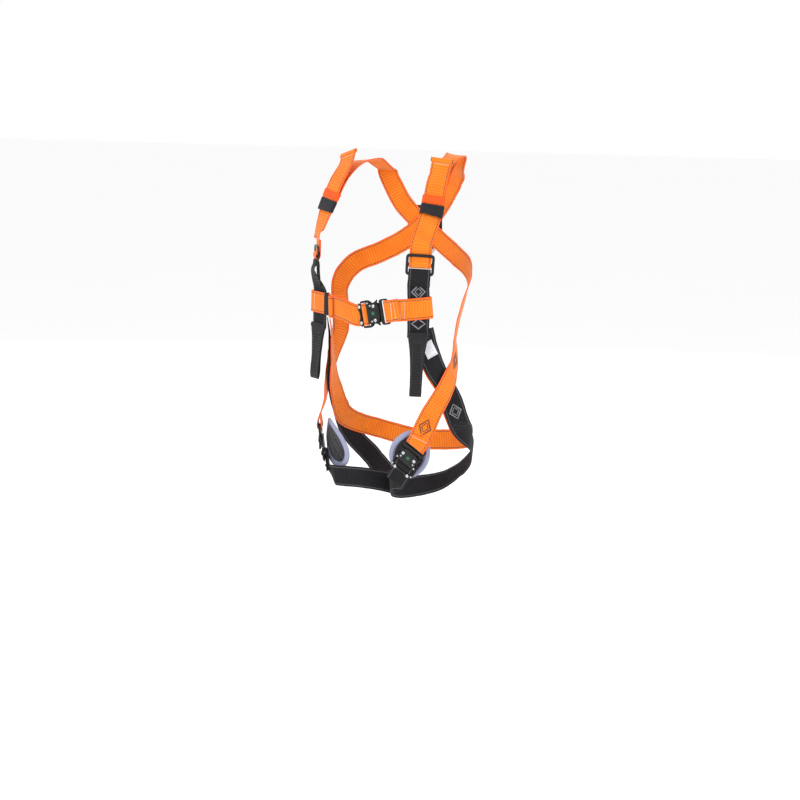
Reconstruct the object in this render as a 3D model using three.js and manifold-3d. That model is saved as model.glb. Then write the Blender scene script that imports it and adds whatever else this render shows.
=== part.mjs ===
// Full-body safety harness, shown as it hangs when worn, without the wearer.
// Millimetres, +Z up. The wearer faces -Y and their left side is +X.
// The origin is the middle of the neck opening, level with the tops of the shoulder straps.
import * as THREE from 'three';
import Module from 'manifold-3d';

const wasm = await Module();
wasm.setup();

// ---------------------------------------------------------------- driving dimensions
const WEB_WIDTH = 45;            // load-bearing webbing
const WEB_THICK = 1.8;
const LOOP_WIDTH = 25;           // folded webbing of the two front attachment loops
const LOOP_TOP = 42;
const LOOP_THICK = 4;
const LAYER_1 = 3;               // heights of stacked webbing above the wearer
const LAYER_2 = 5.6;
const CROSSING = 13.6;           // where an orange strap runs over the hip straps
const PAD_GAP = 11;              // webbing height where it runs over a leg pad
const PAD_THICK = 6;
const PAD_WIDTH = 80;
const PAD_LENGTH = 108;
const CUFF_LENGTH = 17;
const BAND_LENGTH = 26;
const SLEEVE_WALL = 1.1;
const SLIDE_WIDTH = 58;          // three-bar slide adjuster
const SLIDE_LENGTH = 44;
const SLIDE_THICK = 3.2;
const SLIDE_BAR = 6;
const BASE_THICK = 2.6;          // quick-connect buckle plates, bottom to top
const CORE_FLOOR = 3;
const CORE_THICK = 3.1;
const COVER_FLOOR = 6.5;
const COVER_THICK = 2.4;
const SLOT_START = 8;            // webbing slot of the buckle, along the strap
const SLOT_END = 26;
const SLOT_HALF = 23.6;
const BODY_END = 57;
const PIVOT_X = 45;
const PIVOT_Y = 14.5;
const PIVOT_RADIUS = 2.6;
const PIVOT_PLAY = 0.4;
const RING_RADIUS = 4.5;         // bar radius of the dorsal D-ring
const RING_SPAN = 52;
const RING_DEPTH = 58;
const TONGUE_END = 165;          // strap length that follows the tongue when it is pulled out
const SEAM = 0.6;
const STEP = 15;                 // length of one facet along a strap

// ---------------------------------------------------------------- materials
const finish = (color, roughness, metalness) => ({ color, roughness, metalness });
const ORANGE = finish(0xff7a1c, 0.82, 0);
const BLACK_WEB = finish(0x1b1b20, 0.85, 0);
const ELASTIC = finish(0x202024, 0.9, 0);
const CUFF = finish(0xf2531a, 0.8, 0);
const STEEL = finish(0x17171a, 0.4, 0.85);
const BRIGHT = finish(0xc4c6c8, 0.25, 1);
const PLASTIC = finish(0x1d1d20, 0.5, 0);
const GREEN = finish(0x1f8a4c, 0.45, 0);
const PAD = finish(0x25252b, 0.92, 0);
const LABEL = finish(0xd4d5d8, 0.7, 0);

const harness = new THREE.Group();
harness.name = 'safety_harness';

function add(name, geometry, look, parent = harness) {
  const mesh = new THREE.Mesh(geometry, new THREE.MeshStandardMaterial(look));
  mesh.name = name;
  mesh.material.name = `${name}_mat`;
  parent.add(mesh);
  return mesh;
}

// ---------------------------------------------------------------- the wearer's form
// Webbing is laid over this shape. It is never a part of the harness itself.
// Each row of the trunk: height, middle depth, half width, half depth.
const TRUNK = [
  [20, 15, 150, 60],
  [-60, 8, 160, 78],
  [-130, -4, 166, 96],
  [-190, -12, 168, 106],
  [-250, -16, 162, 108],
  [-310, -24, 148, 98],
  [-370, -32, 134, 89],
  [-430, -30, 132, 92],
  [-490, -26, 138, 100],
  [-550, -22, 142, 106],
  [-600, -12, 142, 96],
  [-640, -6, 142, 84],
];
const TRUNK_TOP = -40;
const TRUNK_FLOOR = -632;

function trunkAt(z, column) {
  for (let i = 1; i < TRUNK.length; i += 1) {
    const [high, low] = [TRUNK[i - 1], TRUNK[i]];
    if (z >= low[0]) {
      const t = Math.min(1, (high[0] - z) / (high[0] - low[0]));
      return high[column] + (low[column] - high[column]) * Math.max(0, t);
    }
  }
  return TRUNK[TRUNK.length - 1][column];
}

function soften(a, b, radius) {
  const h = Math.min(1, Math.max(0, 0.5 + (0.5 * (b - a)) / radius));
  return b * (1 - h) + a * h - radius * h * (1 - h);
}

function blob(x, y, z, centre, size) {
  const q = [(x - centre[0]) / size[0], (y - centre[1]) / size[1], (z - centre[2]) / size[2]];
  const near = Math.hypot(...q);
  const far = Math.hypot(q[0] / size[0], q[1] / size[1], q[2] / size[2]);
  return (near * (near - 1)) / (far + 1e-12);
}

function limb(x, y, z, from, to, startRadius, endRadius) {
  const run = [to[0] - from[0], to[1] - from[1], to[2] - from[2]];
  const offset = [x - from[0], y - from[1], z - from[2]];
  const dot = offset[0] * run[0] + offset[1] * run[1] + offset[2] * run[2];
  const t = Math.min(1, Math.max(0, dot / (run[0] ** 2 + run[1] ** 2 + run[2] ** 2)));
  const gap = Math.hypot(offset[0] - t * run[0], offset[1] - t * run[1], offset[2] - t * run[2]);
  return gap - (startRadius + (endRadius - startRadius) * t);
}

function heightAboveForm(p) {
  const x = Math.abs(p.x);
  const { y, z } = p;
  const halfWidth = trunkAt(z, 2);
  const halfDepth = trunkAt(z, 3);
  const qx = x / halfWidth;
  const qy = (y - trunkAt(z, 1)) / halfDepth;
  const k = Math.hypot(qx, qy) + 1e-9;
  let d = (k * (k - 1)) / Math.hypot(qx / halfWidth, qy / halfDepth, 1e-6);
  d = Math.max(d, TRUNK_FLOOR - z, z - TRUNK_TOP);
  d = soften(d, blob(x, y, z, [66, -58, -185], [74, 60, 80]), 30);
  d = soften(d, limb(x, y, z, [30, 14, -62], [175, 16, -80], 50, 56), 35);
  d = soften(d, limb(x, y, z, [0, 14, -30], [0, 8, 100], 56, 51), 30);
  d = soften(d, limb(x, y, z, [78, -14, -600], [82, -14, -850], 72, 66), 18);
  return soften(d, blob(x, y, z, [62, 40, -610], [82, 66, 80]), 30);
}

function outward(p) {
  const reach = 6;
  const slope = (axis) => {
    const step = new THREE.Vector3().setComponent(axis, reach);
    return heightAboveForm(p.clone().add(step)) - heightAboveForm(p.clone().sub(step));
  };
  return new THREE.Vector3(slope(0), slope(1), slope(2)).normalize();
}

function settle(p, lift) {
  const spot = p.clone();
  for (let i = 0; i < 12; i += 1) {
    spot.addScaledVector(outward(spot), 0.9 * (lift - heightAboveForm(spot)));
  }
  return spot;
}

// ---------------------------------------------------------------- laying webbing
// A route mixes laid points, [x, y, z, lift], with pinned points that thread the hardware.
function pin(frame, x, z, side = 1, shift = 0) {
  const at = new THREE.Vector3(x, shift, z).applyMatrix4(frame);
  const across = new THREE.Vector3(0, side, 0).transformDirection(frame);
  return { at, across };
}

function hold(x, y, z, across) {
  return { at: new THREE.Vector3(x, y, z), across: new THREE.Vector3(...across).normalize() };
}

function follow(route, step = STEP) {
  const laid = route.map((stop) => Array.isArray(stop));
  const spots = route.map((stop) => (Array.isArray(stop)
    ? settle(new THREE.Vector3(stop[0], stop[1], stop[2]), stop[3])
    : stop.at.clone()));
  const curve = new THREE.CatmullRomCurve3(spots, false, 'centripetal');
  const stations = [];
  const last = spots.length - 1;
  for (let i = 0; i < last; i += 1) {
    const length = spots[i].distanceTo(spots[i + 1]);
    const bends = laid[i] && laid[i + 1] ? step : step * 0.7;
    const count = Math.max(1, Math.round(length / bends));
    for (let j = 0; j < count; j += 1) {
      stations.push([i, j / count]);
    }
  }
  stations.push([last - 1, 1]);
  const points = stations.map(([i, t]) => {
    const p = curve.getPoint((i + t) / last);
    if (!laid[i] || !laid[i + 1]) {
      return p;
    }
    return settle(p, route[i][3] + (route[i + 1][3] - route[i][3]) * t);
  });
  let previous = null;
  return points.map((p, k) => {
    const [i, t] = stations[k];
    const before = points[Math.max(0, k - 1)];
    const after = points[Math.min(points.length - 1, k + 1)];
    const along = after.clone().sub(before).normalize();
    const acrossOf = (stop, isLaid) => (isLaid
      ? new THREE.Vector3().crossVectors(outward(p), along).normalize()
      : stop.across.clone());
    const across = acrossOf(route[i], laid[i]);
    across.lerp(sameWay(acrossOf(route[i + 1], laid[i + 1]), across), t);
    across.addScaledVector(along, -across.dot(along)).normalize();
    previous = sameWay(across, previous ?? across);
    return { p, along, across, up: new THREE.Vector3().crossVectors(along, across) };
  });
}

// Webbing never flips over between two stations, so opposite directions count as the same one.
function sameWay(direction, other) {
  return direction.dot(other) < 0 ? direction.negate() : direction;
}

// Joins rings of points into one closed skin. A ring is a list of points round the section.
function skin(rings, closed = false) {
  const size = rings[0].length;
  const position = rings.flat().flatMap((p) => [p.x, p.y, p.z]);
  const index = [];
  const turns = closed ? rings.length : rings.length - 1;
  for (let i = 0; i < turns; i += 1) {
    const next = (i + 1) % rings.length;
    for (let j = 0; j < size; j += 1) {
      const a = i * size + j;
      const b = i * size + ((j + 1) % size);
      const c = next * size + ((j + 1) % size);
      const d = next * size + j;
      index.push(a, c, b, a, d, c);
    }
  }
  if (!closed) {
    const end = (rings.length - 1) * size;
    for (let j = 1; j < size - 1; j += 1) {
      index.push(0, j, j + 1);
      index.push(end, end + j + 1, end + j);
    }
  }
  const geometry = new THREE.BufferGeometry();
  geometry.setAttribute('position', new THREE.Float32BufferAttribute(position, 3));
  geometry.setIndex(volume(rings.flat(), index) < 0 ? index.reverse() : index);
  geometry.computeVertexNormals();
  return geometry;
}

function volume(points, index) {
  let total = 0;
  for (let i = 0; i < index.length; i += 3) {
    const [a, b, c] = [points[index[i]], points[index[i + 1]], points[index[i + 2]]];
    total += a.dot(new THREE.Vector3().crossVectors(b, c));
  }
  return total;
}

const corner = (f, out, side) => f.p.clone().addScaledVector(f.up, out).addScaledVector(f.across, side);

// A strip of webbing. Its width is a number, or a function of the share of the strip covered.
const webbing = (route, width, thick) => strip(follow(route), width, thick);

function strip(frames, width = WEB_WIDTH, thick = WEB_THICK) {
  const h = thick / 2;
  const ring = (f, k) => {
    const w = (typeof width === 'number' ? width : width(k / (frames.length - 1))) / 2;
    return [corner(f, h, w), corner(f, -h, w), corner(f, -h, -w), corner(f, h, -w)];
  };
  return skin(frames.map(ring));
}

function lengthOf(frames) {
  return frames.reduce((sum, f, k) => sum + (k > 0 ? f.p.distanceTo(frames[k - 1].p) : 0), 0);
}

// The frames of a strap from one distance along it to another.
function stretch(frames, start, end) {
  const kept = [];
  let from = 0;
  for (let k = 1; k < frames.length; k += 1) {
    const [a, b] = [frames[k - 1], frames[k]];
    const to = from + a.p.distanceTo(b.p);
    const [first, final] = [Math.max(start, from), Math.min(end, to)];
    const cuts = final > first ? [first, final] : [];
    cuts.slice(kept.length > 0 ? 1 : 0).forEach((distance) => {
      const t = (distance - from) / (to - from);
      kept.push({
        p: a.p.clone().lerp(b.p, t),
        up: a.up.clone().lerp(b.up, t).normalize(),
        across: a.across.clone().lerp(b.across, t).normalize(),
      });
    });
    from = to;
  }
  return kept;
}

// A flattened tube over part of a strap: its hollow reaches from low to high above the webbing.
function sleeve(route, start, length, low, high, wall = SLEEVE_WALL) {
  const covered = stretch(follow(route), start, start + length);
  const w = WEB_WIDTH / 2 + 0.6;
  const square = (f, extra) => [
    corner(f, high + extra, w + extra),
    corner(f, low - extra, w + extra),
    corner(f, low - extra, -w - extra),
    corner(f, high + extra, -w - extra),
  ];
  const outer = covered.map((f) => square(f, wall));
  const inner = covered.map((f) => square(f, 0)).reverse();
  return skin([...outer, ...inner], true);
}

// ---------------------------------------------------------------- hardware helpers
function toManifold(geometry) {
  const flat = geometry.index ? geometry.toNonIndexed() : geometry;
  const source = flat.getAttribute('position');
  const seen = new Map();
  const vertProperties = [];
  const triVerts = [];
  for (let i = 0; i < source.count; i += 1) {
    const p = [source.getX(i), source.getY(i), source.getZ(i)];
    const key = p.map((v) => Math.round(v * 1e4)).join();
    if (!seen.has(key)) {
      seen.set(key, vertProperties.length / 3);
      vertProperties.push(...p);
    }
    triVerts.push(seen.get(key));
  }
  return new wasm.Manifold(new wasm.Mesh({
    numProp: 3,
    vertProperties: new Float32Array(vertProperties),
    triVerts: new Uint32Array(triVerts),
  }));
}

function fromManifold(solid) {
  const mesh = solid.getMesh();
  const geometry = new THREE.BufferGeometry();
  geometry.setAttribute('position', new THREE.Float32BufferAttribute(mesh.vertProperties, 3));
  geometry.setIndex([...mesh.triVerts]);
  geometry.computeVertexNormals();
  return geometry;
}

function unite(shapes, cuts = []) {
  let solid = toManifold(shapes[0]);
  shapes.slice(1).forEach((shape) => {
    solid = solid.add(toManifold(shape));
  });
  cuts.forEach((shape) => {
    solid = solid.subtract(toManifold(shape));
  });
  return fromManifold(solid);
}

function plate(points, depth, floor, holes = [], rounding = 6) {
  const outline = points.map(([x, y]) => new THREE.Vector2(x, y));
  const shape = new THREE.Shape(THREE.ShapeUtils.isClockWise(outline) ? outline.reverse() : outline);
  holes.forEach((hole) => {
    if (hole.radius) {
      const circle = new THREE.Path();
      circle.absarc(hole.x, hole.y, hole.radius, 0, Math.PI * 2, true);
      shape.holes.push(circle);
    } else {
      shape.holes.push(new THREE.Path(hole.map(([x, y]) => new THREE.Vector2(x, y))));
    }
  });
  const options = { depth, bevelEnabled: false, curveSegments: rounding };
  return new THREE.ExtrudeGeometry(shape, options).translate(0, 0, floor);
}

function rod(radius, length, x, y, floor, sides = 16) {
  const geometry = new THREE.CylinderGeometry(radius, radius, length, sides);
  return geometry.rotateX(Math.PI / 2).translate(x, y, floor + length / 2);
}

function domed(radius, height, x, y, floor, sides = 14) {
  const geometry = new THREE.CylinderGeometry(radius * 0.62, radius, height, sides);
  return geometry.rotateX(Math.PI / 2).translate(x, y, floor + height / 2);
}

const mirrored = (points) => [
  ...points,
  ...points.slice().reverse().filter(([, y]) => y > 0).map(([x, y]) => [x, -y]),
];

const box = (x0, x1, half) => [[x0, -half], [x1, -half], [x1, half], [x0, half]];

// A frame on the wearer: local x along the strap, y across it, z away from the body.
function frameOn(x, y, z, lift, heading) {
  const at = settle(new THREE.Vector3(x, y, z), lift);
  const up = outward(at);
  const along = new THREE.Vector3(...heading);
  along.addScaledVector(up, -along.dot(up)).normalize();
  const across = new THREE.Vector3().crossVectors(up, along);
  return new THREE.Matrix4().makeBasis(along, across, up).setPosition(at);
}

function frameAt(x, y, z, heading, outwards) {
  const along = new THREE.Vector3(...heading).normalize();
  const up = new THREE.Vector3(...outwards);
  up.addScaledVector(along, -along.dot(up)).normalize();
  const across = new THREE.Vector3().crossVectors(up, along);
  return new THREE.Matrix4().makeBasis(along, across, up).setPosition(x, y, z);
}

function mount(name, frame) {
  const group = new THREE.Group();
  group.name = name;
  frame.decompose(group.position, group.quaternion, group.scale);
  harness.add(group);
  return group;
}

// ---------------------------------------------------------------- quick-connect buckle
// Local x runs from the webbing slot (0) to the tongue, y across, z outward.
const BASE_OUTLINE = mirrored([
  [3.5, 0], [2.5, 6], [0, 11], [-1, 16], [1, 21.5], [5, 25.5], [11, 28], [27, 28.5],
  [33, 26], [37, 21.5], [43, 20.5], [54, 20], [BODY_END, 17],
]);
const COVER_OUTLINE = mirrored([
  [27.5, 0], [27.5, 27], [32, 24.5], [36, 20], [43, 18.6], [50, 19], [54.5, 15], [56, 8],
]);
const LEVER_OUTLINE = [
  [36, 13.5], [40, 11.3], [47, 10.6], [50.6, 12.4], [51.5, 17], [52.5, 22.4], [54, 27.5],
  [50, 24.6], [45, 22], [40, 20.4], [36, 17.5],
];
const BLADE_OUTLINE = mirrored([
  [34, 0], [34, 7], [37, 9.4], [54, 9.4], [56, 10],
]);

function buckle(prefix, frame) {
  const group = mount(`${prefix}_buckle`, frame);
  const name = (piece) => `${prefix}_buckle_${piece}`;

  const slot = box(SLOT_START, SLOT_END, SLOT_HALF);
  const base = plate(BASE_OUTLINE, BASE_THICK, 0, [slot]);
  const rivets = [-16, 16].map((y) => domed(3.4, 2.4, 4, y, BASE_THICK - 0.2));
  add(name('base'), unite([base, ...rivets]), STEEL, group);

  const bar = plate(box(14.4, 21.2, SLOT_HALF - 0.7), 3.4, -0.4);
  add(name('bar'), bar, STEEL, group);

  const top = COVER_FLOOR + COVER_THICK;
  const cover = plate(COVER_OUTLINE, COVER_THICK, COVER_FLOOR);
  const legs = [-1, 1].flatMap((side) => [
    rod(PIVOT_RADIUS, COVER_FLOOR - BASE_THICK, PIVOT_X, side * PIVOT_Y, BASE_THICK + 0.4),
    domed(4, 2.2, PIVOT_X, side * PIVOT_Y, top - 0.2),
    domed(2, 1.6, 30.5, side * 22.5, top - 0.2, 10),
    domed(2, 1.6, 36.5, side * 16.5, top - 0.2, 10),
  ]);
  const dimple = rod(4.4, 2, 42, 0, top - 1);
  add(name('cover'), unite([cover, ...legs], [dimple]), STEEL, group);
  add(name('indicator'), rod(3.9, 1, 42, 0, top - 0.6, 20), GREEN, group);

  [['lever_upper', 1], ['lever_lower', -1]].forEach(([piece, side]) => {
    const outline = LEVER_OUTLINE.map(([x, y]) => [x, side * y]);
    const hole = { x: PIVOT_X, y: side * PIVOT_Y, radius: PIVOT_RADIUS + PIVOT_PLAY };
    add(name(piece), plate(outline, CORE_THICK, CORE_FLOOR, [hole]), STEEL, group);
  });

  const blade = plate(BLADE_OUTLINE, CORE_THICK, CORE_FLOOR);
  const yoke = [[57.5, -23], [61, -26.5], [76, -26.5], [80, -23], [80, 23], [76, 26.5], [61, 26.5],
    [57.5, 23]];
  const window = box(64.5, 73.5, SLOT_HALF - 0.4);
  const loop = plate(yoke, CORE_THICK + 1.6, CORE_FLOOR - 0.8, [window]);
  const neck = plate(box(53, 59, 9), CORE_THICK, CORE_FLOOR);
  add(name('tongue'), unite([blade, neck, loop]), STEEL, group);
  return group;
}

// Webbing that wraps the tongue's outer bar, listed from its sewn end to the upper layer.
function tongueWrap(frame) {
  return [
    pin(frame, 102, 1.4, -1),
    pin(frame, 84, 0.4, -1),
    pin(frame, 76.8, -0.2, -1),
    pin(frame, 71, 1.8, -1),
    pin(frame, 69.6, 4.6, -1),
    pin(frame, 71, 7.4, -1),
    pin(frame, 76.8, 9, -1),
    pin(frame, 86, 7.6, -1),
  ];
}

// Webbing that comes in under the slot end, wraps the floating bar and leaves over itself.
function slotWrap(frame, side = 1) {
  return [
    pin(frame, -8, -5.2, side),
    pin(frame, 12, -5.2, side),
    pin(frame, 21.4, -3.6, side),
    pin(frame, 23.9, 1.4, side),
    pin(frame, 21.5, 4.9, side),
    pin(frame, 17.8, 5.8, side),
    pin(frame, 13.6, 4.6, side),
    pin(frame, 10.9, 1, side),
    pin(frame, 8, -2, side),
    pin(frame, 2, -2.4, side),
    pin(frame, -8, -2.4, side),
  ];
}

// ---------------------------------------------------------------- slide adjuster
// Local x runs down the strap. Upper webbing wraps the middle bar, lower webbing the bottom bar.
const SLIDE_PITCH = (SLIDE_LENGTH - SLIDE_BAR) / 2;

function slide(name, frame) {
  const [l, w] = [SLIDE_LENGTH / 2, SLIDE_WIDTH / 2];
  const outline = [[-l, -w + 4], [-l + 4, -w], [l - 4, -w], [l, -w + 4], [l, w - 4], [l - 4, w],
    [-l + 4, w], [-l, w - 4]];
  const windows = [-1, 1].map((side) => {
    const middle = (side * SLIDE_PITCH) / 2;
    const reach = (SLIDE_PITCH - SLIDE_BAR) / 2;
    return plate(box(middle - reach, middle + reach, WEB_WIDTH / 2 + 1), SLIDE_THICK * 2, -SLIDE_THICK);
  });
  const group = mount(`${name}_group`, frame);
  add(name, unite([plate(outline, SLIDE_THICK, -SLIDE_THICK / 2)], windows), STEEL, group);
}

function slideUpper(frame) {
  return [
    pin(frame, -42, -3.2),
    pin(frame, -19, -3.4),
    pin(frame, -8.6, -1.6),
    pin(frame, -5.2, 2.4),
    pin(frame, 0, 4),
    pin(frame, 4.8, 2.2),
    pin(frame, 5.8, -2),
    pin(frame, 0, -5.2),
    pin(frame, -12, -6),
    pin(frame, -34, -6),
  ];
}

function slideLower(frame, slack = 0, end = 46) {
  return [
    pin(frame, end, -4.2 - slack * 0.2, -1),
    pin(frame, 26, -3.8, -1),
    pin(frame, 17, -3.4, -1),
    pin(frame, 9.6, -1.5, -1),
    pin(frame, 9.8, 2.8, -1),
    pin(frame, 18.4, 4.2, -1),
    pin(frame, 28, 3.6 + slack * 0.5, -1),
  ];
}

// ---------------------------------------------------------------- main layout
const chestFrame = frameOn(-19, -127, -317, 9.5, [0.98, 0, 0.19]);
const leftLegFrame = frameOn(67, -97, -641, 17, [0.54, -0.28, 0.79]);
const rightLegFrame = frameAt(-131, -82.5, -642, [-0.12, 0, 0.99], [-0.88, -0.47, 0]);
const leftSlideFrame = frameOn(110, -109, -206, 11, [-0.06, 0, -1]);
const rightSlideFrame = frameAt(-153, -86, -205, [0, 0, -1], [-0.77, -0.64, 0]);
const FRONT_LIFT = 7;
const leftCross = [102, -98, -297, FRONT_LIFT];
const leftCrossFrame = frameOn(...leftCross, [0.85, 0.5, 0.1]);
const rightCrossFrame = frameAt(-147, -82, -303, [-0.94, 0.34, 0.04], [-0.34, -0.94, 0]);
const rightDropFrame = frameAt(-147, -82, -303, [0, 0, -1], [-0.34, -0.94, 0]);

buckle('chest', chestFrame);
buckle('left_leg', leftLegFrame);
buckle('right_leg', rightLegFrame);
slide('slide_left', leftSlideFrame);
slide('slide_right', rightSlideFrame);

// Two long orange straps: each runs from a slide adjuster, over one shoulder, across the back
// and round the other hip to the tongue of a leg buckle.
const shoulderLeft = [
  [112, -98, -150, LAYER_1 + 3],
  [113, -74, -112, LAYER_1],
  [113, -60, -82, LAYER_1],
  [114, -50, -52, LAYER_1],
  hold(118, -24, -14, [-0.98, -0.15, 0]),
  hold(121, 2, 4, [-1, 0, 0]),
  hold(117, 26, 7, [-0.98, 0.1, 0.1]),
  hold(104, 48, -16, [-0.93, 0.25, 0.2]),
  [76, 70, -54, LAYER_1 + 1],
  [45, 90, -102, LAYER_1],
];
const shoulderRight = [
  hold(-151, -80, -156, [-0.78, 0.62, 0]),
  hold(-143, -68, -116, [-0.93, 0.37, 0]),
  hold(-133, -58, -82, [-0.96, 0.27, 0]),
  hold(-122, -47, -50, [-0.97, 0.2, 0]),
  [-111, -20, -12, LAYER_1 + 2],
  [-99, 20, -2, LAYER_1 + 6],
  [-88, 44, -14, LAYER_1 + 10],
  [-72, 70, -54, LAYER_1 + 3],
  [-45, 90, -102, LAYER_1 + 3],
];
const hipLeft = [
  [45, 98, -178, LAYER_1 + 3],
  [96, 84, -206, LAYER_1],
  [146, 50, -232, LAYER_1],
  [160, 12, -275, LAYER_1],
  [146, -2, -325, LAYER_1],
  [136, -8, -372, LAYER_2 + 3],
  [137, -24, -420, CROSSING],
  [135, -48, -458, CROSSING + 0.6],
  [122, -79, -512, CROSSING - 1.4],
];
const hipRight = [
  [-45, 98, -178, LAYER_1],
  [-96, 84, -206, LAYER_1],
  [-146, 50, -232, LAYER_1],
  [-160, 12, -275, LAYER_1],
  [-146, -2, -325, LAYER_1],
  [-136, -12, -372, LAYER_2 + 4],
  [-137, -30, -420, CROSSING],
  [-139, -42, -458, CROSSING + 0.6],
  [-140, -64, -512, CROSSING],
];
const fromSlide = (frame) => slideUpper(frame).reverse().map(
  (stop) => ({ at: stop.at, across: stop.across.clone().negate() }),
);
const strapA = [...fromSlide(leftSlideFrame), ...shoulderLeft, [0, 98, -145, LAYER_1],
  ...hipRight, ...tongueWrap(rightLegFrame).reverse()];
const strapB = [...fromSlide(rightSlideFrame), ...shoulderRight, [0, 98, -145, LAYER_1 + 3],
  ...hipLeft, ...tongueWrap(leftLegFrame).reverse()];
[['left', strapA, 'right'], ['right', strapB, 'left']].forEach(([shoulder, route, leg]) => {
  const frames = follow(route);
  const whole = lengthOf(frames);
  const split = whole - TONGUE_END;
  add(`main_strap_${shoulder}_shoulder`, strip(stretch(frames, 0, split)), ORANGE);
  add(`main_strap_end_${leg}_leg`, strip(stretch(frames, split + SEAM, whole)), ORANGE);
});

// Cuff and elastic band over each shoulder strap, below the rescue loop.
const BAND_START = { left: 162, right: 149 };
[['left', strapA], ['right', strapB]].forEach(([side, route]) => {
  const [low, high] = [-1.9, 6.2];
  const bandStart = BAND_START[side];
  const cuffStart = bandStart + BAND_LENGTH + 2;
  add(`elastic_band_${side}`, sleeve(route, bandStart, BAND_LENGTH, low, high), ELASTIC);
  add(`orange_cuff_${side}`, sleeve(route, cuffStart, CUFF_LENGTH, low, high), CUFF);
});

// Rescue loops: a folded strip that leaves the cuff and ends in a stitched hem.
const rescueLeft = [
  [113, -66, -96, LAYER_2 + 0.4],
  [113, -60, -82, LAYER_2 + 0.4],
  [114, -50, -52, LAYER_2 + 1],
  hold(116, -42, -24, [-0.98, -0.15, 0]),
  hold(117.5, -34, 3, [-0.97, -0.24, 0]),
];
const rescueRight = [
  hold(-141.4, -68.5, -105, [-0.94, 0.34, 0]),
  hold(-134.3, -61.8, -80.6, [-0.96, 0.27, 0]),
  hold(-123.6, -52.4, -48, [-0.96, 0.27, 0]),
  hold(-115, -44, -27, [-0.94, 0.32, 0]),
  hold(-113, -32, -9, [-0.92, 0.37, 0]),
  hold(-116, -18, 11, [-0.92, 0.39, 0]),
];
const HEM = { width: 49, thick: 7, length: 9 };
function rescueLoop(route) {
  const frames = follow(route);
  const whole = lengthOf(frames);
  const hem = stretch(frames, whole - HEM.length, whole);
  return unite([strip(frames, WEB_WIDTH - 1, 2.4), strip(hem, HEM.width, HEM.thick)]);
}
add('rescue_loop_left', rescueLoop(rescueLeft), ORANGE);
add('rescue_loop_right', rescueLoop(rescueRight), ORANGE);

// Black front straps, from the slides down to the belly.
const frontLeft = [
  ...slideLower(leftSlideFrame),
  [106, -108, -248, FRONT_LIFT],
  leftCross,
  [101, -98, -330, FRONT_LIFT + 2],
  [100, -96, -350, FRONT_LIFT + 3],
];
const frontRight = [
  ...slideLower(rightSlideFrame, 8, 62),
  pin(rightDropFrame, -24, 0, -1),
  pin(rightDropFrame, 0, 0, -1),
  pin(rightDropFrame, 26, 0, -1),
  pin(rightDropFrame, 48, 0, -1),
];
add('front_strap_left', webbing(frontLeft), BLACK_WEB);
add('front_strap_right', webbing(frontRight), BLACK_WEB);

// Chest strap: each half loops round a front strap; the right one is adjustable.
function crossLoop(frame, bottom) {
  return [
    pin(frame, -24, 4.2),
    pin(frame, -8, 4.1),
    pin(frame, 16, 4.1),
    pin(frame, 24.8, 3.2),
    pin(frame, 27, 0),
    pin(frame, 24.8, -3.2),
    pin(frame, 16, -4.1),
    pin(frame, -8, -4.1),
    pin(frame, bottom, -3.6),
  ];
}
const chestLeft = [
  ...tongueWrap(chestFrame),
  ...crossLoop(leftCrossFrame, -18),
];
const chestMain = [
  ...crossLoop(rightCrossFrame, -20).reverse(),
  [-108, -97, -304, 6],
  [-78, -112, -307, 4.6],
  ...slotWrap(chestFrame, -1),
  [-66, -117, -309, 8.8],
  [-78, -112.5, -307.5, 9.4],
  ...tailRoll(frameOn(-91, -106, -306, 10.4, [-0.85, 0.5, 0.05])),
];
function tailRoll(frame) {
  return [
    pin(frame, -3, 0),
    pin(frame, 4, 0.6),
    pin(frame, 7.2, 4),
    pin(frame, 5, 8.4),
    pin(frame, 0, 9.4),
    pin(frame, -3.6, 6.4),
    pin(frame, -1.6, 3.4),
  ];
}
const KEEPER_START = 101.5;
const KEEPER_LENGTH = 13;
add('chest_keeper', sleeve(chestMain, KEEPER_START, KEEPER_LENGTH, -2.2, 2.2), ELASTIC);
add('chest_strap_left', webbing(chestLeft), ORANGE);
add('chest_strap_right', webbing(chestMain), ORANGE);

// Black hip and leg straps: from the front strap back over the hip, under the seat and up
// between the legs to the webbing slot of the leg buckle.
const hipLead = {
  left: [
    [108, -92, -342, 5.4],
    [114, -82, -382, 6.2],
    [125, -66, -428, 8],
    [136, -45, -464, 8],
    hold(147, -30, -499, [0.77, 0.52, 0.35]),
    hold(153, -4, -551, [0.72, 0.6, 0.33]),
    [140, 40, -596, 8],
  ],
  right: [
    [-142, -76, -342, 7],
    [-143, -70, -382, 8],
    [-140, -58, -428, 8],
    [-139, -42, -464, 8],
    [-142, -22, -500, 8],
    [-146, 8, -550, 8],
    [-140, 40, -596, 8],
  ],
};
const hipStrapLeft = [
  ...hipLead.left,
  [112, 74, -650, LAYER_2],
  [74, 66, -684, LAYER_1],
  [34, 34, -700, LAYER_1],
  [13, -4, -701, LAYER_1],
  [14, -50, -684, LAYER_1 + 3],
  [38, -84, -665, PAD_GAP + 3],
];
const hipStrapRight = [
  ...hipLead.right,
  [-112, 74, -650, LAYER_2],
  [-74, 66, -684, LAYER_1],
  [-34, 34, -700, LAYER_1],
  [-12, -4, -693, LAYER_1],
  [-14, -46, -679, LAYER_1 + 2],
  [-40, -80, -669, PAD_GAP],
  [-68, -90, -667, PAD_GAP + 3],
  [-92, -92, -667, PAD_GAP + 8],
];
const legSlot = (frame) => [pin(frame, -24, -5.6, -1), ...slotWrap(frame, -1)];
const legRoutes = {
  left: [...hipStrapLeft, ...legSlot(leftLegFrame), pin(leftLegFrame, -30, -2.2, -1)],
  right: [...hipStrapRight, ...legSlot(rightLegFrame), pin(rightLegFrame, -22, -2.2, -1)],
};
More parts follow.
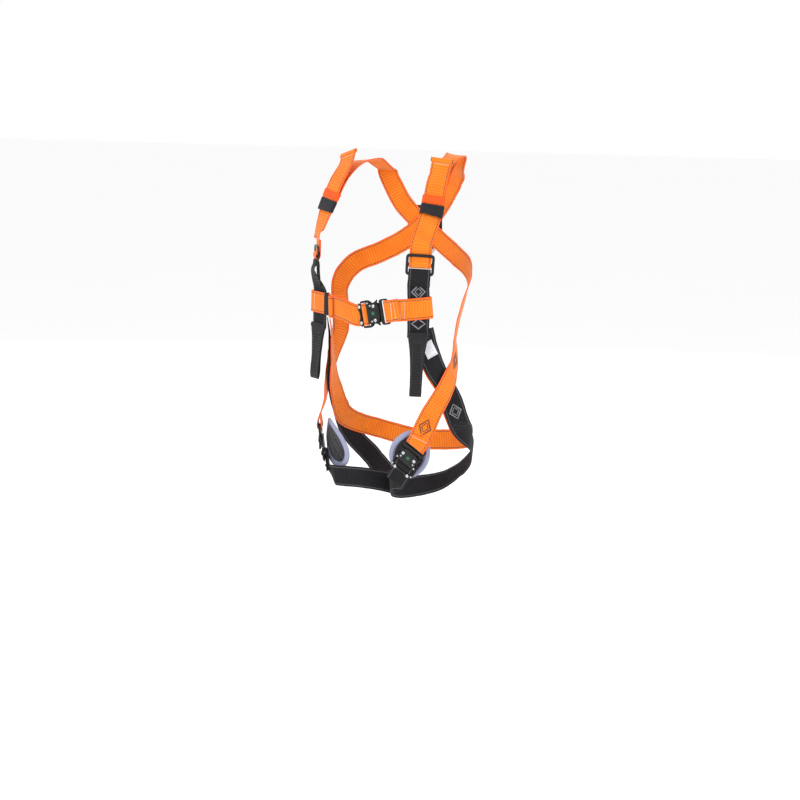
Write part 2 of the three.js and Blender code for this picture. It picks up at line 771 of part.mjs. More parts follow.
add('hip_leg_strap_left', webbing(legRoutes.left), BLACK_WEB);
add('hip_leg_strap_right', webbing(legRoutes.right), BLACK_WEB);

// Orange seat strap, sewn under both black hip straps and passing behind the seat.
const SEAT_DROP = 3;
const SEAT_BELOW = 5;
const seatUnder = (stops) => stops.map(
  ([x, y, z, lift]) => [x, y, z - SEAT_DROP, lift - SEAT_BELOW],
);
const seatRoute = [
  ...seatUnder(hipLead.right.slice(0, -1)),
  [-132, 62, -586, 2.4],
  [-78, 98, -606, LAYER_1],
  [0, 96, -612, LAYER_1],
  [78, 98, -606, LAYER_1],
  [132, 62, -586, 2.4],
  hold(148, 5, -557, [0.72, 0.6, 0.33]),
  hold(139.2, -21.5, -505.5, [0.77, 0.52, 0.35]),
  ...seatUnder(hipLead.left.slice(0, 4)).reverse(),
];
add('seat_strap', webbing(seatRoute), ORANGE);

// Front attachment loops: a narrow strip that runs down, folds and comes back up behind itself.
function hangingLoop(frame, length) {
  const gap = LOOP_THICK / 2 - 0.2;
  return [
    pin(frame, 1, gap),
    pin(frame, length * 0.5, gap),
    pin(frame, length - 6, gap + 0.6),
    pin(frame, length, 0),
    pin(frame, length - 6, -gap - 0.6),
    pin(frame, length * 0.5, -gap),
    pin(frame, 1, -gap),
  ];
}

const leftLoopFrame = frameAt(107, -108, -353, [-0.02, -0.04, -1], [0.5, -0.86, 0]);
const rightLoopFrame = frameAt(-149, -84, -354, [-0.07, -0.02, -1], [-0.3, -0.95, 0]);
const taper = (share) => LOOP_WIDTH + Math.max(0, LOOP_TOP - LOOP_WIDTH) * Math.abs(2 * share - 1) ** 3;
add('front_loop_left', webbing(hangingLoop(leftLoopFrame, 124), taper), BLACK_WEB);
add('front_loop_right', webbing(hangingLoop(rightLoopFrame, 112), taper), BLACK_WEB);

// Leg pads: oval cushions between the thigh and the leg buckle.
function pad(centre, heading) {
  const frame = frameOn(...centre, 1, heading);
  const sides = 20;
  const sheet = (lift, spread) => (reach) => Array.from({ length: sides }, (_, k) => {
    const angle = (k / sides) * Math.PI * 2;
    const x = (Math.cos(angle) * reach * PAD_LENGTH) / 2;
    const y = (Math.sin(angle) * reach * PAD_WIDTH) / 2;
    const spot = new THREE.Vector3(x * spread, y * spread, 0).applyMatrix4(frame);
    return settle(spot, lift);
  });
  const under = sheet(1, 0.96);
  const over = sheet(PAD_THICK, 0.94);
  const rim = sheet((PAD_THICK + 1) / 2, 1)(1);
  const rings = [under(0.02), under(0.5), under(1), rim, over(1), over(0.5), over(0.02)];
  return skin(rings);
}
add('leg_pad_left', pad([84, -100, -604], [0.4, -0.1, 0.9]), PAD);
add('leg_pad_right', pad([-107, -81, -601], [-0.5, 0.3, 0.75]), PAD);

// Label on the left hip strap.
const labelFrame = frameOn(116, -80, -382, 9.2, [0.35, 0.3, -0.9]);
add('label', webbing([pin(labelFrame, -17, 0), pin(labelFrame, 17, 0)], 24, 1), LABEL);

// Dorsal plate with two lugs, and the D-ring that hangs from them.
const DORSAL_LIFT = 11;
const dorsalBack = settle(new THREE.Vector3(0, 100, -150), DORSAL_LIFT).y;
const dorsalFrame = frameAt(0, dorsalBack, -150, [0, 0.02, -1], [0, 1, 0]);
const LUG_HEIGHT = 11.5;
const LUG_REACH = 7;
const RING_AXIS = 9;
function dorsal() {
  const group = mount('dorsal', dorsalFrame);
  const outline = mirrored([[-46, 0], [-46, 26], [-34, 40], [30, 40], [44, 24], [44, 0]]);
  const shape = plate(outline, 4, 0);
  const lugs = [-10, 10].map((y) => {
    const lug = plate(box(-LUG_REACH, LUG_REACH, 4.5), LUG_HEIGHT, 3);
    return lug.translate(0, y, 0);
  });
  const bore = new THREE.CylinderGeometry(RING_RADIUS + 0.7, RING_RADIUS + 0.7, 60, 32);
  bore.translate(0, 0, RING_AXIS);
  add('dorsal_plate', unite([shape, ...lugs], [bore]), PLASTIC, group);

  const half = RING_SPAN / 2;
  const rail = [[0, -half + 7], [0, -8], [0, 8], [0, half - 7]];
  const bends = [
    [2.5, half - 2.3], [9, half], [RING_DEPTH * 0.55, half - 1], [RING_DEPTH * 0.86, half * 0.62],
    [RING_DEPTH, 0],
  ];
  const path = [
    ...rail,
    ...bends,
    ...bends.slice(0, -1).reverse().map(([x, y]) => [x, -y]),
  ].map(([x, y]) => new THREE.Vector3(x, y, RING_AXIS));
  const curve = new THREE.CatmullRomCurve3(path, true, 'centripetal');
  const round = 12;
  const steps = 44;
  const rings = Array.from({ length: steps }, (_, k) => {
    const p = curve.getPoint(k / steps);
    const side = curve.getTangent(k / steps).cross(new THREE.Vector3(0, 0, 1)).normalize();
    return Array.from({ length: round }, (__, j) => {
      const angle = (j / round) * Math.PI * 2;
      const out = side.clone().multiplyScalar(Math.cos(angle) * RING_RADIUS);
      return out.add(p).add(new THREE.Vector3(0, 0, Math.sin(angle) * RING_RADIUS));
    });
  });
  add('dorsal_ring', skin(rings, true), BRIGHT, group);
}
dorsal();

export default harness;
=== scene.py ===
"""Looks of a full-body safety harness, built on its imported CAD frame.

Lengths are millimetres while a shape is worked out, and metres once it is a mesh.
+Z is up, the wearer faces -Y and their left side is +X.
"""
import math

import bmesh
import bpy
import numpy as np
from mathutils import Matrix, Vector


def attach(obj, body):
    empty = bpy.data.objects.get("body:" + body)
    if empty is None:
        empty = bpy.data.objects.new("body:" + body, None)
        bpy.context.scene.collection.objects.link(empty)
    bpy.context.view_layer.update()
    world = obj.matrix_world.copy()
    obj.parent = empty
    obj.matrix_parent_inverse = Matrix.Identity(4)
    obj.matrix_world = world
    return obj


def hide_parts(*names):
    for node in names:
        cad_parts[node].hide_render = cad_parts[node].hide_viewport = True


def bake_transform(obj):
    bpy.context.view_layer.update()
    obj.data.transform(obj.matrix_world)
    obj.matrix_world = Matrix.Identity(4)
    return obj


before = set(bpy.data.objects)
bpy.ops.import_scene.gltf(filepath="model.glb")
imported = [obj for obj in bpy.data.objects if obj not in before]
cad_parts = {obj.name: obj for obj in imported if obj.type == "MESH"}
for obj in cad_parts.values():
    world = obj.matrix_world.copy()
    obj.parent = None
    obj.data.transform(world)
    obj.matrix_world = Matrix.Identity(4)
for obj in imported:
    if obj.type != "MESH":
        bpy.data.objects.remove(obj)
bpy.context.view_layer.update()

MM = 0.001
WEB_WIDTH = 45.0
WEB_THICK = 1.8
RIB_PITCH = 5.8              # one rib of the webbing, and one dash of its tracer lines
TRACER_AT = 18.3             # from the middle of the webbing to a tracer line
FINE = 1.45                  # length of one step along a strap
LAYER_1 = 3
LAYER_2 = 5.6
CROSSING = 13.6
PAD_GAP = 11
FRONT_LIFT = 7


# --- small vector helpers
def unit(v):
    v = np.asarray(v, float)
    return v / np.maximum(np.linalg.norm(v, axis=-1, keepdims=True), 1e-12)


# --- the wearer's form
# The same shape that the CAD straps lie on. It is never shown.
TRUNK = np.array([
    [20, 15, 150, 60],
    [-60, 8, 160, 78],
    [-130, -4, 166, 96],
    [-190, -12, 168, 106],
    [-250, -16, 162, 108],
    [-310, -24, 148, 98],
    [-370, -32, 134, 89],
    [-430, -30, 132, 92],
    [-490, -26, 138, 100],
    [-550, -22, 142, 106],
    [-600, -12, 142, 96],
    [-640, -6, 142, 84],
], float)[::-1]
TRUNK_TOP = -40
TRUNK_FLOOR = -632


def soften(a, b, radius):
    h = np.clip(0.5 + 0.5 * (b - a) / radius, 0, 1)
    return b * (1 - h) + a * h - radius * h * (1 - h)


def blob(p, centre, size):
    q = (p - np.array(centre, float)) / np.array(size, float)
    near = np.linalg.norm(q, axis=-1)
    far = np.linalg.norm(q / np.array(size, float), axis=-1)
    return near * (near - 1) / (far + 1e-12)


def limb(p, start, end, start_radius, end_radius):
    start, end = np.array(start, float), np.array(end, float)
    run = end - start
    t = np.clip((p - start) @ run / (run @ run), 0, 1)
    gap = np.linalg.norm(p - start - t[..., None] * run, axis=-1)
    return gap - (start_radius + (end_radius - start_radius) * t)


def height_above_form(points):
    p = np.array(points, float)
    p[..., 0] = np.abs(p[..., 0])
    middle, half_width, half_depth = (
        np.interp(p[..., 2], TRUNK[:, 0], TRUNK[:, column]) for column in (1, 2, 3)
    )
    qx = p[..., 0] / half_width
    qy = (p[..., 1] - middle) / half_depth
    k = np.hypot(qx, qy) + 1e-9
    d = k * (k - 1) / np.maximum(np.hypot(qx / half_width, qy / half_depth), 1e-6)
    d = np.maximum(d, np.maximum(TRUNK_FLOOR - p[..., 2], p[..., 2] - TRUNK_TOP))
    d = soften(d, blob(p, (66, -58, -185), (74, 60, 80)), 30)
    d = soften(d, limb(p, (30, 14, -62), (175, 16, -80), 50, 56), 35)
    d = soften(d, limb(p, (0, 14, -30), (0, 8, 100), 56, 51), 30)
    d = soften(d, limb(p, (78, -14, -600), (82, -14, -850), 72, 66), 18)
    return soften(d, blob(p, (62, 40, -610), (82, 66, 80)), 30)


def outward(points):
    reach = 6.0
    slope = [
        height_above_form(points + step) - height_above_form(points - step)
        for step in np.eye(3) * reach
    ]
    return unit(np.stack(slope, axis=-1))


def settle(points, lift):
    spot = np.array(points, float)
    for _ in range(12):
        spot = spot + outward(spot) * (0.9 * (lift - height_above_form(spot)))[..., None]
    return spot


def settle_spot(at, lift):
    return settle(np.array([at], float), np.array([float(lift)]))[0]


# --- frames on the harness
def frame_at(at, heading, outwards):
    """A frame with x along the strap, y across it and z away from the wearer."""
    along = unit(heading)
    up = np.array(outwards, float)
    up = unit(up - along * (up @ along))
    return np.column_stack([along, np.cross(up, along), up, np.array(at, float)])


def frame_on(at, lift, heading):
    at = settle_spot(at, lift)
    up = outward(at[None])[0]
    heading = np.array(heading, float)
    return frame_at(at, heading - up * (heading @ up), up)


def circle(count):
    """The angles of evenly spaced points round a circle."""
    return np.linspace(0, 2 * math.pi, count, endpoint=False)


def to_world(place, points):
    return np.asarray(points, float) @ place[:, :3].T + place[:, 3]


# --- laying webbing
# A route mixes laid points, (x, y, z, lift), with pinned points that thread the hardware.
def pin(place, x, z, side=1):
    return to_world(place, (x, 0, z)), place[:, 1] * side


def pins(place, stops, side=1):
    return [pin(place, x, z, side) for x, z in stops]


def hold(x, y, z, across):
    return np.array([x, y, z], float), unit(across)


def spline(spots, i, t):
    """A point of the centripetal Catmull-Rom curve through spots, on segment i."""
    before = spots[i - 1] if i > 0 else 2 * spots[0] - spots[1]
    after = spots[i + 2] if i + 2 < len(spots) else 2 * spots[-1] - spots[-2]
    a, b, c, d = before, spots[i], spots[i + 1], after
    ab, bc, cd = (np.linalg.norm(q - p) ** 0.5 for p, q in ((a, b), (b, c), (c, d)))
    start = ((b - a) / ab - (c - a) / (ab + bc) + (c - b) / bc) * bc
    end = ((c - b) / bc - (d - b) / (bc + cd) + (d - c) / cd) * bc
    t = t[:, None]
    return (b + start * t + (3 * (c - b) - 2 * start - end) * t ** 2
            + (2 * (b - c) + start + end) * t ** 3)


def distance_along(points):
    gaps = np.linalg.norm(np.diff(points, axis=0), axis=1)
    return np.concatenate([[0.0], np.cumsum(gaps)])


class Strap:
    """Stations along a strap: where each is, and its across and outward directions."""

    def __init__(self, at, across, up):
        self.at, self.across, self.up = at, across, up
        self.along = distance_along(at)
        self.length = float(self.along[-1])

    def at_distance(self, distances):
        pick = lambda rows: np.stack(
            [np.interp(distances, self.along, rows[:, k]) for k in range(3)], axis=-1)
        return pick(self.at), unit(pick(self.across)), unit(pick(self.up))

    def stretch(self, start, end, step=FINE):
        count = max(2, int(round((end - start) / step)) + 1)
        return Strap(*self.at_distance(np.linspace(start, end, count)))


def follow(route, step=FINE):
    laid = [len(stop) == 4 for stop in route]
    spots = [settle_spot(stop[:3], stop[3]) if is_laid else stop[0]
             for stop, is_laid in zip(route, laid)]
    points, mixes = [], []
    for i in range(len(spots) - 1):
        count = max(2, int(round(np.linalg.norm(spots[i + 1] - spots[i]) / step)))
        t = np.arange(count + (i == len(spots) - 2)) / count
        p = spline(spots, i, t)
        if laid[i] and laid[i + 1]:
            p = settle(p, route[i][3] + (route[i + 1][3] - route[i][3]) * t)
        points.append(p)
        mixes += [(i, share) for share in t]
    points = np.concatenate(points)
    padded = np.concatenate([points[:1], points, points[-1:]])
    along = unit(padded[2:] - padded[:-2])
    settled = unit(np.cross(outward(points), along))
    across = np.empty_like(points)
    previous = None
    for k, (i, share) in enumerate(mixes):
        first = settled[k] if laid[i] else route[i][1]
        second = settled[k] if laid[i + 1] else route[i + 1][1]
        second = -second if first @ second < 0 else second
        turned = first + (second - first) * share
        turned = unit(turned - along[k] * (turned @ along[k]))
        turned = -turned if previous is not None and turned @ previous < 0 else turned
        across[k] = previous = turned
    return Strap(points, across, np.cross(along, across))


# --- making meshes
def add_object(name, data):
    obj = bpy.data.objects.new(name, data)
    bpy.context.scene.collection.objects.link(obj)
    return obj


def shade_smooth(mesh, smooth=True):
    mesh.polygons.foreach_set("use_smooth", [smooth] * len(mesh.polygons))


def new_object(name, vertices, faces, uv=None, smooth=True):
    mesh = bpy.data.meshes.new(name)
    mesh.from_pydata((np.asarray(vertices) * MM).tolist(), [], faces)
    if uv is not None:
        layer = mesh.uv_layers.new(name="strap")
        corner_vertex = np.empty(len(mesh.loops), int)
        mesh.loops.foreach_get("vertex_index", corner_vertex)
        layer.data.foreach_set("uv", (np.asarray(uv)[corner_vertex] * MM).ravel())
    shade_smooth(mesh, smooth)
    mesh.validate()
    mesh.update()
    return add_object(name, mesh)


def signed_volume(vertices, faces):
    v = np.asarray(vertices)
    total = 0.0
    for face in faces:
        for k in range(1, len(face) - 1):
            total += v[face[0]] @ np.cross(v[face[k]], v[face[k + 1]])
    return total


def loft(rings, closed=False):
    """Faces that join rings of points, and the vertices as one array."""
    rings = np.asarray(rings)
    count, size = rings.shape[:2]
    faces = []
    for i in range(count if closed else count - 1):
        a, b = i * size, ((i + 1) % count) * size
        for j in range(size):
            k = (j + 1) % size
            faces.append((a + j, a + k, b + k, b + j))
    if not closed:
        faces.append(tuple(range(size))[::-1])
        faces.append(tuple(range((count - 1) * size, count * size)))
    vertices = rings.reshape(-1, 3)
    if signed_volume(vertices, faces) < 0:
        faces = [face[::-1] for face in faces]
    return vertices, faces


def merged(parts):
    """Several (vertices, faces) pairs as one pair."""
    vertices, faces = [], []
    for more, loops in parts:
        base = len(vertices)
        vertices.extend(more)
        faces.extend(tuple(base + v for v in loop) for loop in loops)
    return vertices, faces


def tube(count, side, up):
    """A circle of radius 1 that faces along a path."""
    angles = circle(count)
    return np.cos(angles)[:, None] * side + np.sin(angles)[:, None] * up


def squared(values, power):
    """A sine or cosine that draws a rounded box in place of a circle."""
    return np.sign(values) * np.abs(values) ** power


def loop_tangent(centre):
    """The direction along a closed path at each of its points."""
    return unit(np.roll(centre, -1, axis=0) - np.roll(centre, 1, axis=0))


SECTION_SPANS = 14


def section(width, thick, rounding=4):
    """Points round a strip of webbing with rounded selvedges, as (across, out) pairs."""
    radius = thick / 2
    flat = np.linspace(-width / 2 + radius, width / 2 - radius, SECTION_SPANS)
    turn = np.linspace(0, math.pi, rounding + 2)[1:-1]
    right = [(width / 2 - radius + radius * math.sin(a), radius * math.cos(a)) for a in turn]
    left = [(-x, -y) for x, y in right]
    return np.array([(x, radius) for x in flat] + right
                    + [(x, -radius) for x in flat[::-1]] + left)


def noise(distance, seed):
    """A slow, repeatable waver between -1 and 1."""
    waves = ((83.0, 1.7, 0.5), (47.0, 0.6, 0.3), (29.0, 2.9, 0.2))
    return sum(share * np.sin(distance * 2 * math.pi / length + seed * shift)
               for length, shift, share in waves)


def strip(name, strap, width=WEB_WIDTH, thick=WEB_THICK, rib=0.42, waver=0.35, seed=1.0,
          start=0.0):
    """A length of webbing with ribs across it. The width may be a function of the distance."""
    if callable(width):
        widths = width(strap.along / strap.length)
    else:
        widths = np.full(len(strap.at), width)
    shape = section(WEB_WIDTH, thick)
    side = shape[:, 0] / (WEB_WIDTH / 2)
    out = shape[:, 1]
    s = strap.along + start
    ribs = rib * (0.5 - 0.5 * np.cos(2 * math.pi * s / RIB_PITCH)) - rib * 0.5
    fade = 1 - np.clip((np.abs(side) - 0.86) / 0.1, 0, 1)
    lifted = (waver * noise(s, seed))[:, None] * np.ones(len(shape))
    heights = lifted + out + np.sign(out) * ribs[:, None] * fade
    edge = 0.25 * noise(s * 1.9, seed + 4)[:, None] * side
    sides = side * widths[:, None] / 2 + edge
    rings = (strap.at[:, None] + strap.across[:, None] * sides[..., None]
             + strap.up[:, None] * heights[..., None])
    vertices, faces = loft(rings)
    uv = np.stack([np.broadcast_to(shape[:, 0], heights.shape),
                   np.broadcast_to(s[:, None], heights.shape)], axis=-1).reshape(-1, 2)
    return new_object(name, vertices, faces, uv)


SLEEVE_WALL = 1.1
SLEEVE_SLACK = 0.6           # how much wider than the webbing on each side
SLEEVE_LIP = 0.35            # how far its ends are turned in, over LIP_REACH
LIP_REACH = 1.2


def sleeve(name, strap, start, length, low, high, gather=0.0):
    """A flattened tube round part of a strap, with rounded corners."""
    part = strap.stretch(start, start + length, 1.2)
    half = WEB_WIDTH / 2 + SLEEVE_SLACK
    middle, tall = (low + high) / 2, (high - low) / 2
    angles = circle(56)

    def outline(extra):
        x = (half + extra) * squared(np.cos(angles), 0.22)
        return x, (tall + extra) * squared(np.sin(angles), 0.45) + middle

    share = np.linspace(0, 1, len(part.at))
    lip = sum(SLEEVE_LIP * np.exp(-((end * length) / LIP_REACH) ** 2) for end in (share, 1 - share))
    outer = [outline(SLEEVE_WALL + gather * math.sin(k * 1.9) * 0.5 - turned_in)
             for k, turned_in in enumerate(lip)]
    inner = [outline(0.15)] * len(part.at)
    rings = [
        at + across * x[:, None] + up * y[:, None]
        for order, shapes in ((1, outer), (-1, inner))
        for at, across, up, (x, y) in zip(
            part.at[::order], part.across[::order], part.up[::order], shapes)
    ]
    vertices, faces = loft(rings, closed=True)
    around = np.concatenate([outline(0)[0]] * len(part.at) * 2)
    along = np.repeat(np.concatenate([part.along, part.along[::-1]]) + start, len(angles))
    return new_object(name, vertices, faces, np.column_stack([around, along]))


def on_strap(strap, across, along, lift):
    """Points on a strap, given across it, along it and above its middle."""
    at, sideways, up = strap.at_distance(np.asarray(along, float))
    return at + sideways * np.asarray(across)[..., None] + up * np.asarray(lift)[..., None]


STITCH_PITCH = 3.6
STITCH_GAP = 0.8
STITCH_SINK = 0.35           # how far the ends of a stitch go down
STITCH_LIFT = 1.35           # from the middle of the webbing to the thread of a clear seam
STITCH_SHAPE = np.array([(0.0, 0.3), (0.12, 0.85), (0.5, 1.0), (0.88, 0.85), (1.0, 0.3)])
THREAD = 0.42


def stitching(name, strap, rows, lift=1.2, thread=THREAD):
    """Rows of thread on a strap. A row is a list of (across, along) corners."""
    trim = STITCH_GAP / STITCH_PITCH / 2
    places, radii = STITCH_SHAPE.T
    sink = STITCH_SINK * (1 - radii)
    stitches = []
    for row in rows:
        corners = np.array(row, float)
        for start, end in zip(corners[:-1], corners[1:]):
            count = max(1, int(round(np.linalg.norm(end - start) / STITCH_PITCH)))
            for k in range(count):
                shares = (k + trim + (1 - 2 * trim) * places) / count
                across, along = (start + (end - start) * shares[:, None]).T
                at = on_strap(strap, across, along, lift - sink)
                up = on_strap(strap, across, along, lift + 1 - sink) - at
                side = unit(np.cross(up, unit(at[-1] - at[0])))
                stitches.append(loft([
                    p + thread * radius * tube(6, s, u)
                    for p, s, u, radius in zip(at, side, up, radii)
                ]))
    return new_object(name, *merged(stitches))


def lines(half, *distances):
    """Straight rows of stitching across a strap, at those distances along it."""
    return [[(-half, s), (half, s)] for s in distances]


def zigzag(start, end, half, strokes):
    """Corners of a zigzag that runs across the strap between two distances along it."""
    return [(half * (2 * k / strokes - 1), start if k % 2 else end) for k in range(strokes + 1)]


MARK_LIFT, MARK_THICK = 1.4, 0.35
MARK_SIZES = ((19, 14, 2.6), (11, 8, 1.6))


def diamond(name, strap, middle, long_half, half, width, face):
    """A raised diamond woven on a strap, around the given distance along it."""
    outline = [(0, middle - long_half), (half, middle), (0, middle + long_half), (-half, middle)]
    corners = np.array(outline + outline[:1], float)
    path = np.concatenate([
        a + (b - a) * np.linspace(0, 1, 9)[:-1, None] for a, b in zip(corners[:-1], corners[1:])
    ])
    centre = path.mean(axis=0)
    low, high = MARK_LIFT * face, MARK_LIFT * face + MARK_THICK * face
    rings = []
    for flat in path:
        inward = unit(centre - flat) * width
        ring = ((flat, low), (flat + inward, low), (flat + inward, high), (flat, high))
        rings.append([on_strap(strap, p[0], p[1], h) for p, h in ring])
    vertices, faces = loft(rings, closed=True)
    return new_object(name, vertices, faces, smooth=False)


def marks(name, strap, shapes, face=1):
    """Diamonds on one side of a strap, each (middle, long half, half, line width)."""
    return join(name, [
        diamond(f"{name}_{k}", strap, *shape, face) for k, shape in enumerate(shapes)
    ])


def marks_at(name, strap, middle):
    return marks(name, strap, [(middle, *size) for size in MARK_SIZES])


# --- hardware shapes
def rounded(points, radius, steps=4):
    """The outline with each corner turned into a curve."""
    points = np.array(points, float)
    result = []
    for k, corner in enumerate(points):
        before, after = points[k - 1], points[(k + 1) % len(points)]
        reach = min(radius, *(np.linalg.norm(end - corner) / 2.05 for end in (before, after)))
        a = corner + unit(before - corner) * reach
        b = corner + unit(after - corner) * reach
        for t in np.linspace(0, 1, steps + 1):
            result.append((1 - t) ** 2 * a + 2 * t * (1 - t) * corner + t * t * b)
    return np.array(result)


def mirrored(points):
    return list(points) + [(x, -y) for x, y in reversed(points) if y > 0]


def box(low, high, half):
    return [(low, -half), (high, -half), (high, half), (low, half)]


def round_hole(x, y, radius, count):
    return [(x + radius * math.cos(a), y + radius * math.sin(a)) for a in circle(count)][::-1]


def place_matrix(place):
    matrix = Matrix.Identity(4)
    for row in range(3):
        for column in range(4):
            matrix[row][column] = place[row, column] * (MM if column == 3 else 1)
    return matrix


def sharpen(obj, degrees=35):
    shade_smooth(obj.data)
    obj.data.set_sharp_from_angle(angle=math.radians(degrees))
    return obj


def plate(name, outline, floor, depth, place, holes=(), bevel=0.5, tilt=None):
    """A flat metal part with rounded edges, cut from an outline with holes."""
    curve = bpy.data.curves.new(name, "CURVE")
    curve.dimensions = "2D"
    curve.fill_mode = "BOTH"
    curve.extrude = (depth / 2 - bevel) * MM
    curve.bevel_depth = bevel * MM
    curve.bevel_resolution = 2
    curve.offset = -bevel * MM
    for points in (outline, *holes):
        spline_ = curve.splines.new("POLY")
        spline_.points.add(len(points) - 1)
        for point, (x, y) in zip(spline_.points, points):
            point.co = (x * MM, y * MM, 0, 1)
        spline_.use_cyclic_u = True
    source = add_object(name + "_outline", curve)
    bpy.context.view_layer.update()
    graph = bpy.context.evaluated_depsgraph_get()
    mesh = bpy.data.meshes.new_from_object(source.evaluated_get(graph))
    bpy.data.objects.remove(source)
    bpy.data.curves.remove(curve)
    work = bmesh.new()
    work.from_mesh(mesh)
    bmesh.ops.remove_doubles(work, verts=work.verts, dist=0.002 * MM)
    bmesh.ops.recalc_face_normals(work, faces=work.faces)
    work.to_mesh(mesh)
    work.free()
    mesh.materials.clear()
    mesh.transform(Matrix.Translation((0, 0, (floor + depth / 2) * MM)))
    if tilt is not None:
        mesh.transform(tilt)
    mesh.transform(place_matrix(place))
    mesh.name = name
    return sharpen(add_object(name, mesh))


def turned(name, profile, centres, place):
    """Round parts about the outward axis: profile is (radius, height) pairs from the axis out."""
    parts = []
    for x, y, z in centres:
        vertices, faces = loft([
            [(x + r * math.cos(a), y + r * math.sin(a), z + h) for a in circle(32)]
            for r, h in profile
        ])
        parts.append((to_world(place, vertices), faces))
    return sharpen(new_object(name, *merged(parts)), 40)


def dome(radius, height):
    """The profile of a domed rivet head that stands on a short straight edge."""
    edge = height * 0.22
    arc = [(radius * math.cos(a), edge + (height - edge) * math.sin(a))
           for a in np.linspace(0, math.pi / 2 * 0.97, 7)]
    return [(radius * 0.98, -0.3), (radius, edge * 0.5)] + arc


def join(name, objects):
    """Several meshes as one object."""
    work = bmesh.new()
    for obj in objects:
        work.from_mesh(obj.data)
        bpy.data.objects.remove(obj)
    mesh = bpy.data.meshes.new(name)
    work.to_mesh(mesh)
    work.free()
    return add_object(name, mesh)


# --- materials
class Value:
    """A number worked out at each point of a surface, built with ordinary arithmetic."""

    def __init__(self, tree, socket):
        self.tree, self.socket = tree, socket

    def _node(self, operation, *inputs):
        node = self.tree.nodes.new("ShaderNodeMath")
        node.operation = operation
        for socket, value in zip(node.inputs, inputs):
            if isinstance(value, Value):
                self.tree.links.new(value.socket, socket)
            else:
                socket.default_value = value
        return Value(self.tree, node.outputs[0])

    def __add__(self, other):
        return self._node("ADD", self, other)

    def __sub__(self, other):
        return self._node("SUBTRACT", self, other)

    def __mul__(self, other):
        return self._node("MULTIPLY", self, other)

    def wave(self, pitch):
        """A smooth wave from 0 to 1 that repeats every pitch."""
        return self._node("COSINE", self * (2 * math.pi / pitch)) * 0.5 + 0.5

    def size(self):
        return self._node("ABSOLUTE", self)

    def fraction(self):
        return self._node("FRACT", self)

    def floor(self):
        return self._node("FLOOR", self)

    def ramp(self, low, high):
        """0 below low, 1 above high, smooth in between."""
        node = self.tree.nodes.new("ShaderNodeMapRange")
        node.interpolation_type = "SMOOTHSTEP"
        self.tree.links.new(self.socket, node.inputs["Value"])
        node.inputs["From Min"].default_value = low
        node.inputs["From Max"].default_value = high
        return Value(self.tree, node.outputs["Result"])

    def band(self, middle, half, soft):
        """1 within half of middle, falling to 0 over soft."""
        away = (self - middle).size()
        return away.ramp(half + soft, half)


class Surface:
    """A Principled material with helpers for its patterns."""

    def __init__(self, name, roughness, metallic=0.0, specular=0.5, sheen=0.0, coat=0.0):
        self.material = bpy.data.materials.new(name)
        self.material.use_nodes = True
        self.tree = self.material.node_tree
        self.shader = self.tree.nodes["Principled BSDF"]
        for label, value in (
            ("Roughness", roughness), ("Metallic", metallic), ("Specular IOR Level", specular),
            ("Sheen Weight", sheen), ("Sheen Roughness", 0.5), ("Coat Weight", coat),
            ("Coat Roughness", 0.2),
        ):
            self.shader.inputs[label].default_value = value

    def millimetres(self, socket, count):
        parts = self.tree.nodes.new("ShaderNodeSeparateXYZ")
        self.tree.links.new(socket, parts.inputs[0])
        return tuple(Value(self.tree, parts.outputs[k]) * (1 / MM) for k in range(count))

    def strap_position(self):
        """Millimetres across and along a strap."""
        uv = self.tree.nodes.new("ShaderNodeUVMap")
        uv.uv_map = "strap"
        return self.millimetres(uv.outputs[0], 2)

    def position(self):
        """Millimetres along x, y and z of the shared frame."""
        texture = self.tree.nodes.new("ShaderNodeTexCoord")
        return self.millimetres(texture.outputs["Object"], 3)

    def noise(self, size, detail=3.0):
        """Cloudy noise from 0 to 1 whose features are about size millimetres."""
        texture = self.tree.nodes.new("ShaderNodeTexCoord")
        node = self.tree.nodes.new("ShaderNodeTexNoise")
        node.inputs["Scale"].default_value = 1 / (size * MM)
        node.inputs["Detail"].default_value = detail
        node.inputs["Roughness"].default_value = 0.55
        self.tree.links.new(texture.outputs["Object"], node.inputs["Vector"])
        return Value(self.tree, node.outputs["Fac"])

    def mix(self, factor, first, second):
        """A colour between two, each a triple or the result of another mix."""
        node = self.tree.nodes.new("ShaderNodeMix")
        node.data_type = "RGBA"
        self.tree.links.new(factor.socket, node.inputs["Factor"])
        for label, colour in (("A", first), ("B", second)):
            socket = next(s for s in node.inputs if s.name == label and s.type == "RGBA")
            if isinstance(colour, tuple):
                socket.default_value = (*colour, 1.0)
            else:
                self.tree.links.new(colour, socket)
        return next(s for s in node.outputs if s.type == "RGBA")

    def colour(self, colour):
        if isinstance(colour, tuple):
            self.shader.inputs["Base Color"].default_value = (*colour, 1.0)
        else:
            self.tree.links.new(colour, self.shader.inputs["Base Color"])

    def roughness(self, value):
        self.tree.links.new(value.socket, self.shader.inputs["Roughness"])

    def bump(self, height, depth):
        """Relief of that many millimetres where height goes from 0 to 1."""
        node = self.tree.nodes.new("ShaderNodeBump")
        node.inputs["Strength"].default_value = 1.0
        node.inputs["Distance"].default_value = depth * MM
        self.tree.links.new(height.socket, node.inputs["Height"])
        self.tree.links.new(node.outputs[0], self.shader.inputs["Normal"])


def srgb(red, green, blue):
    """A colour given as it looks on a screen, 0 to 255, as a light value."""
    return tuple(((c / 255 + 0.055) / 1.055) ** 2.4 if c > 10 else c / 255 / 12.92
                 for c in (red, green, blue))


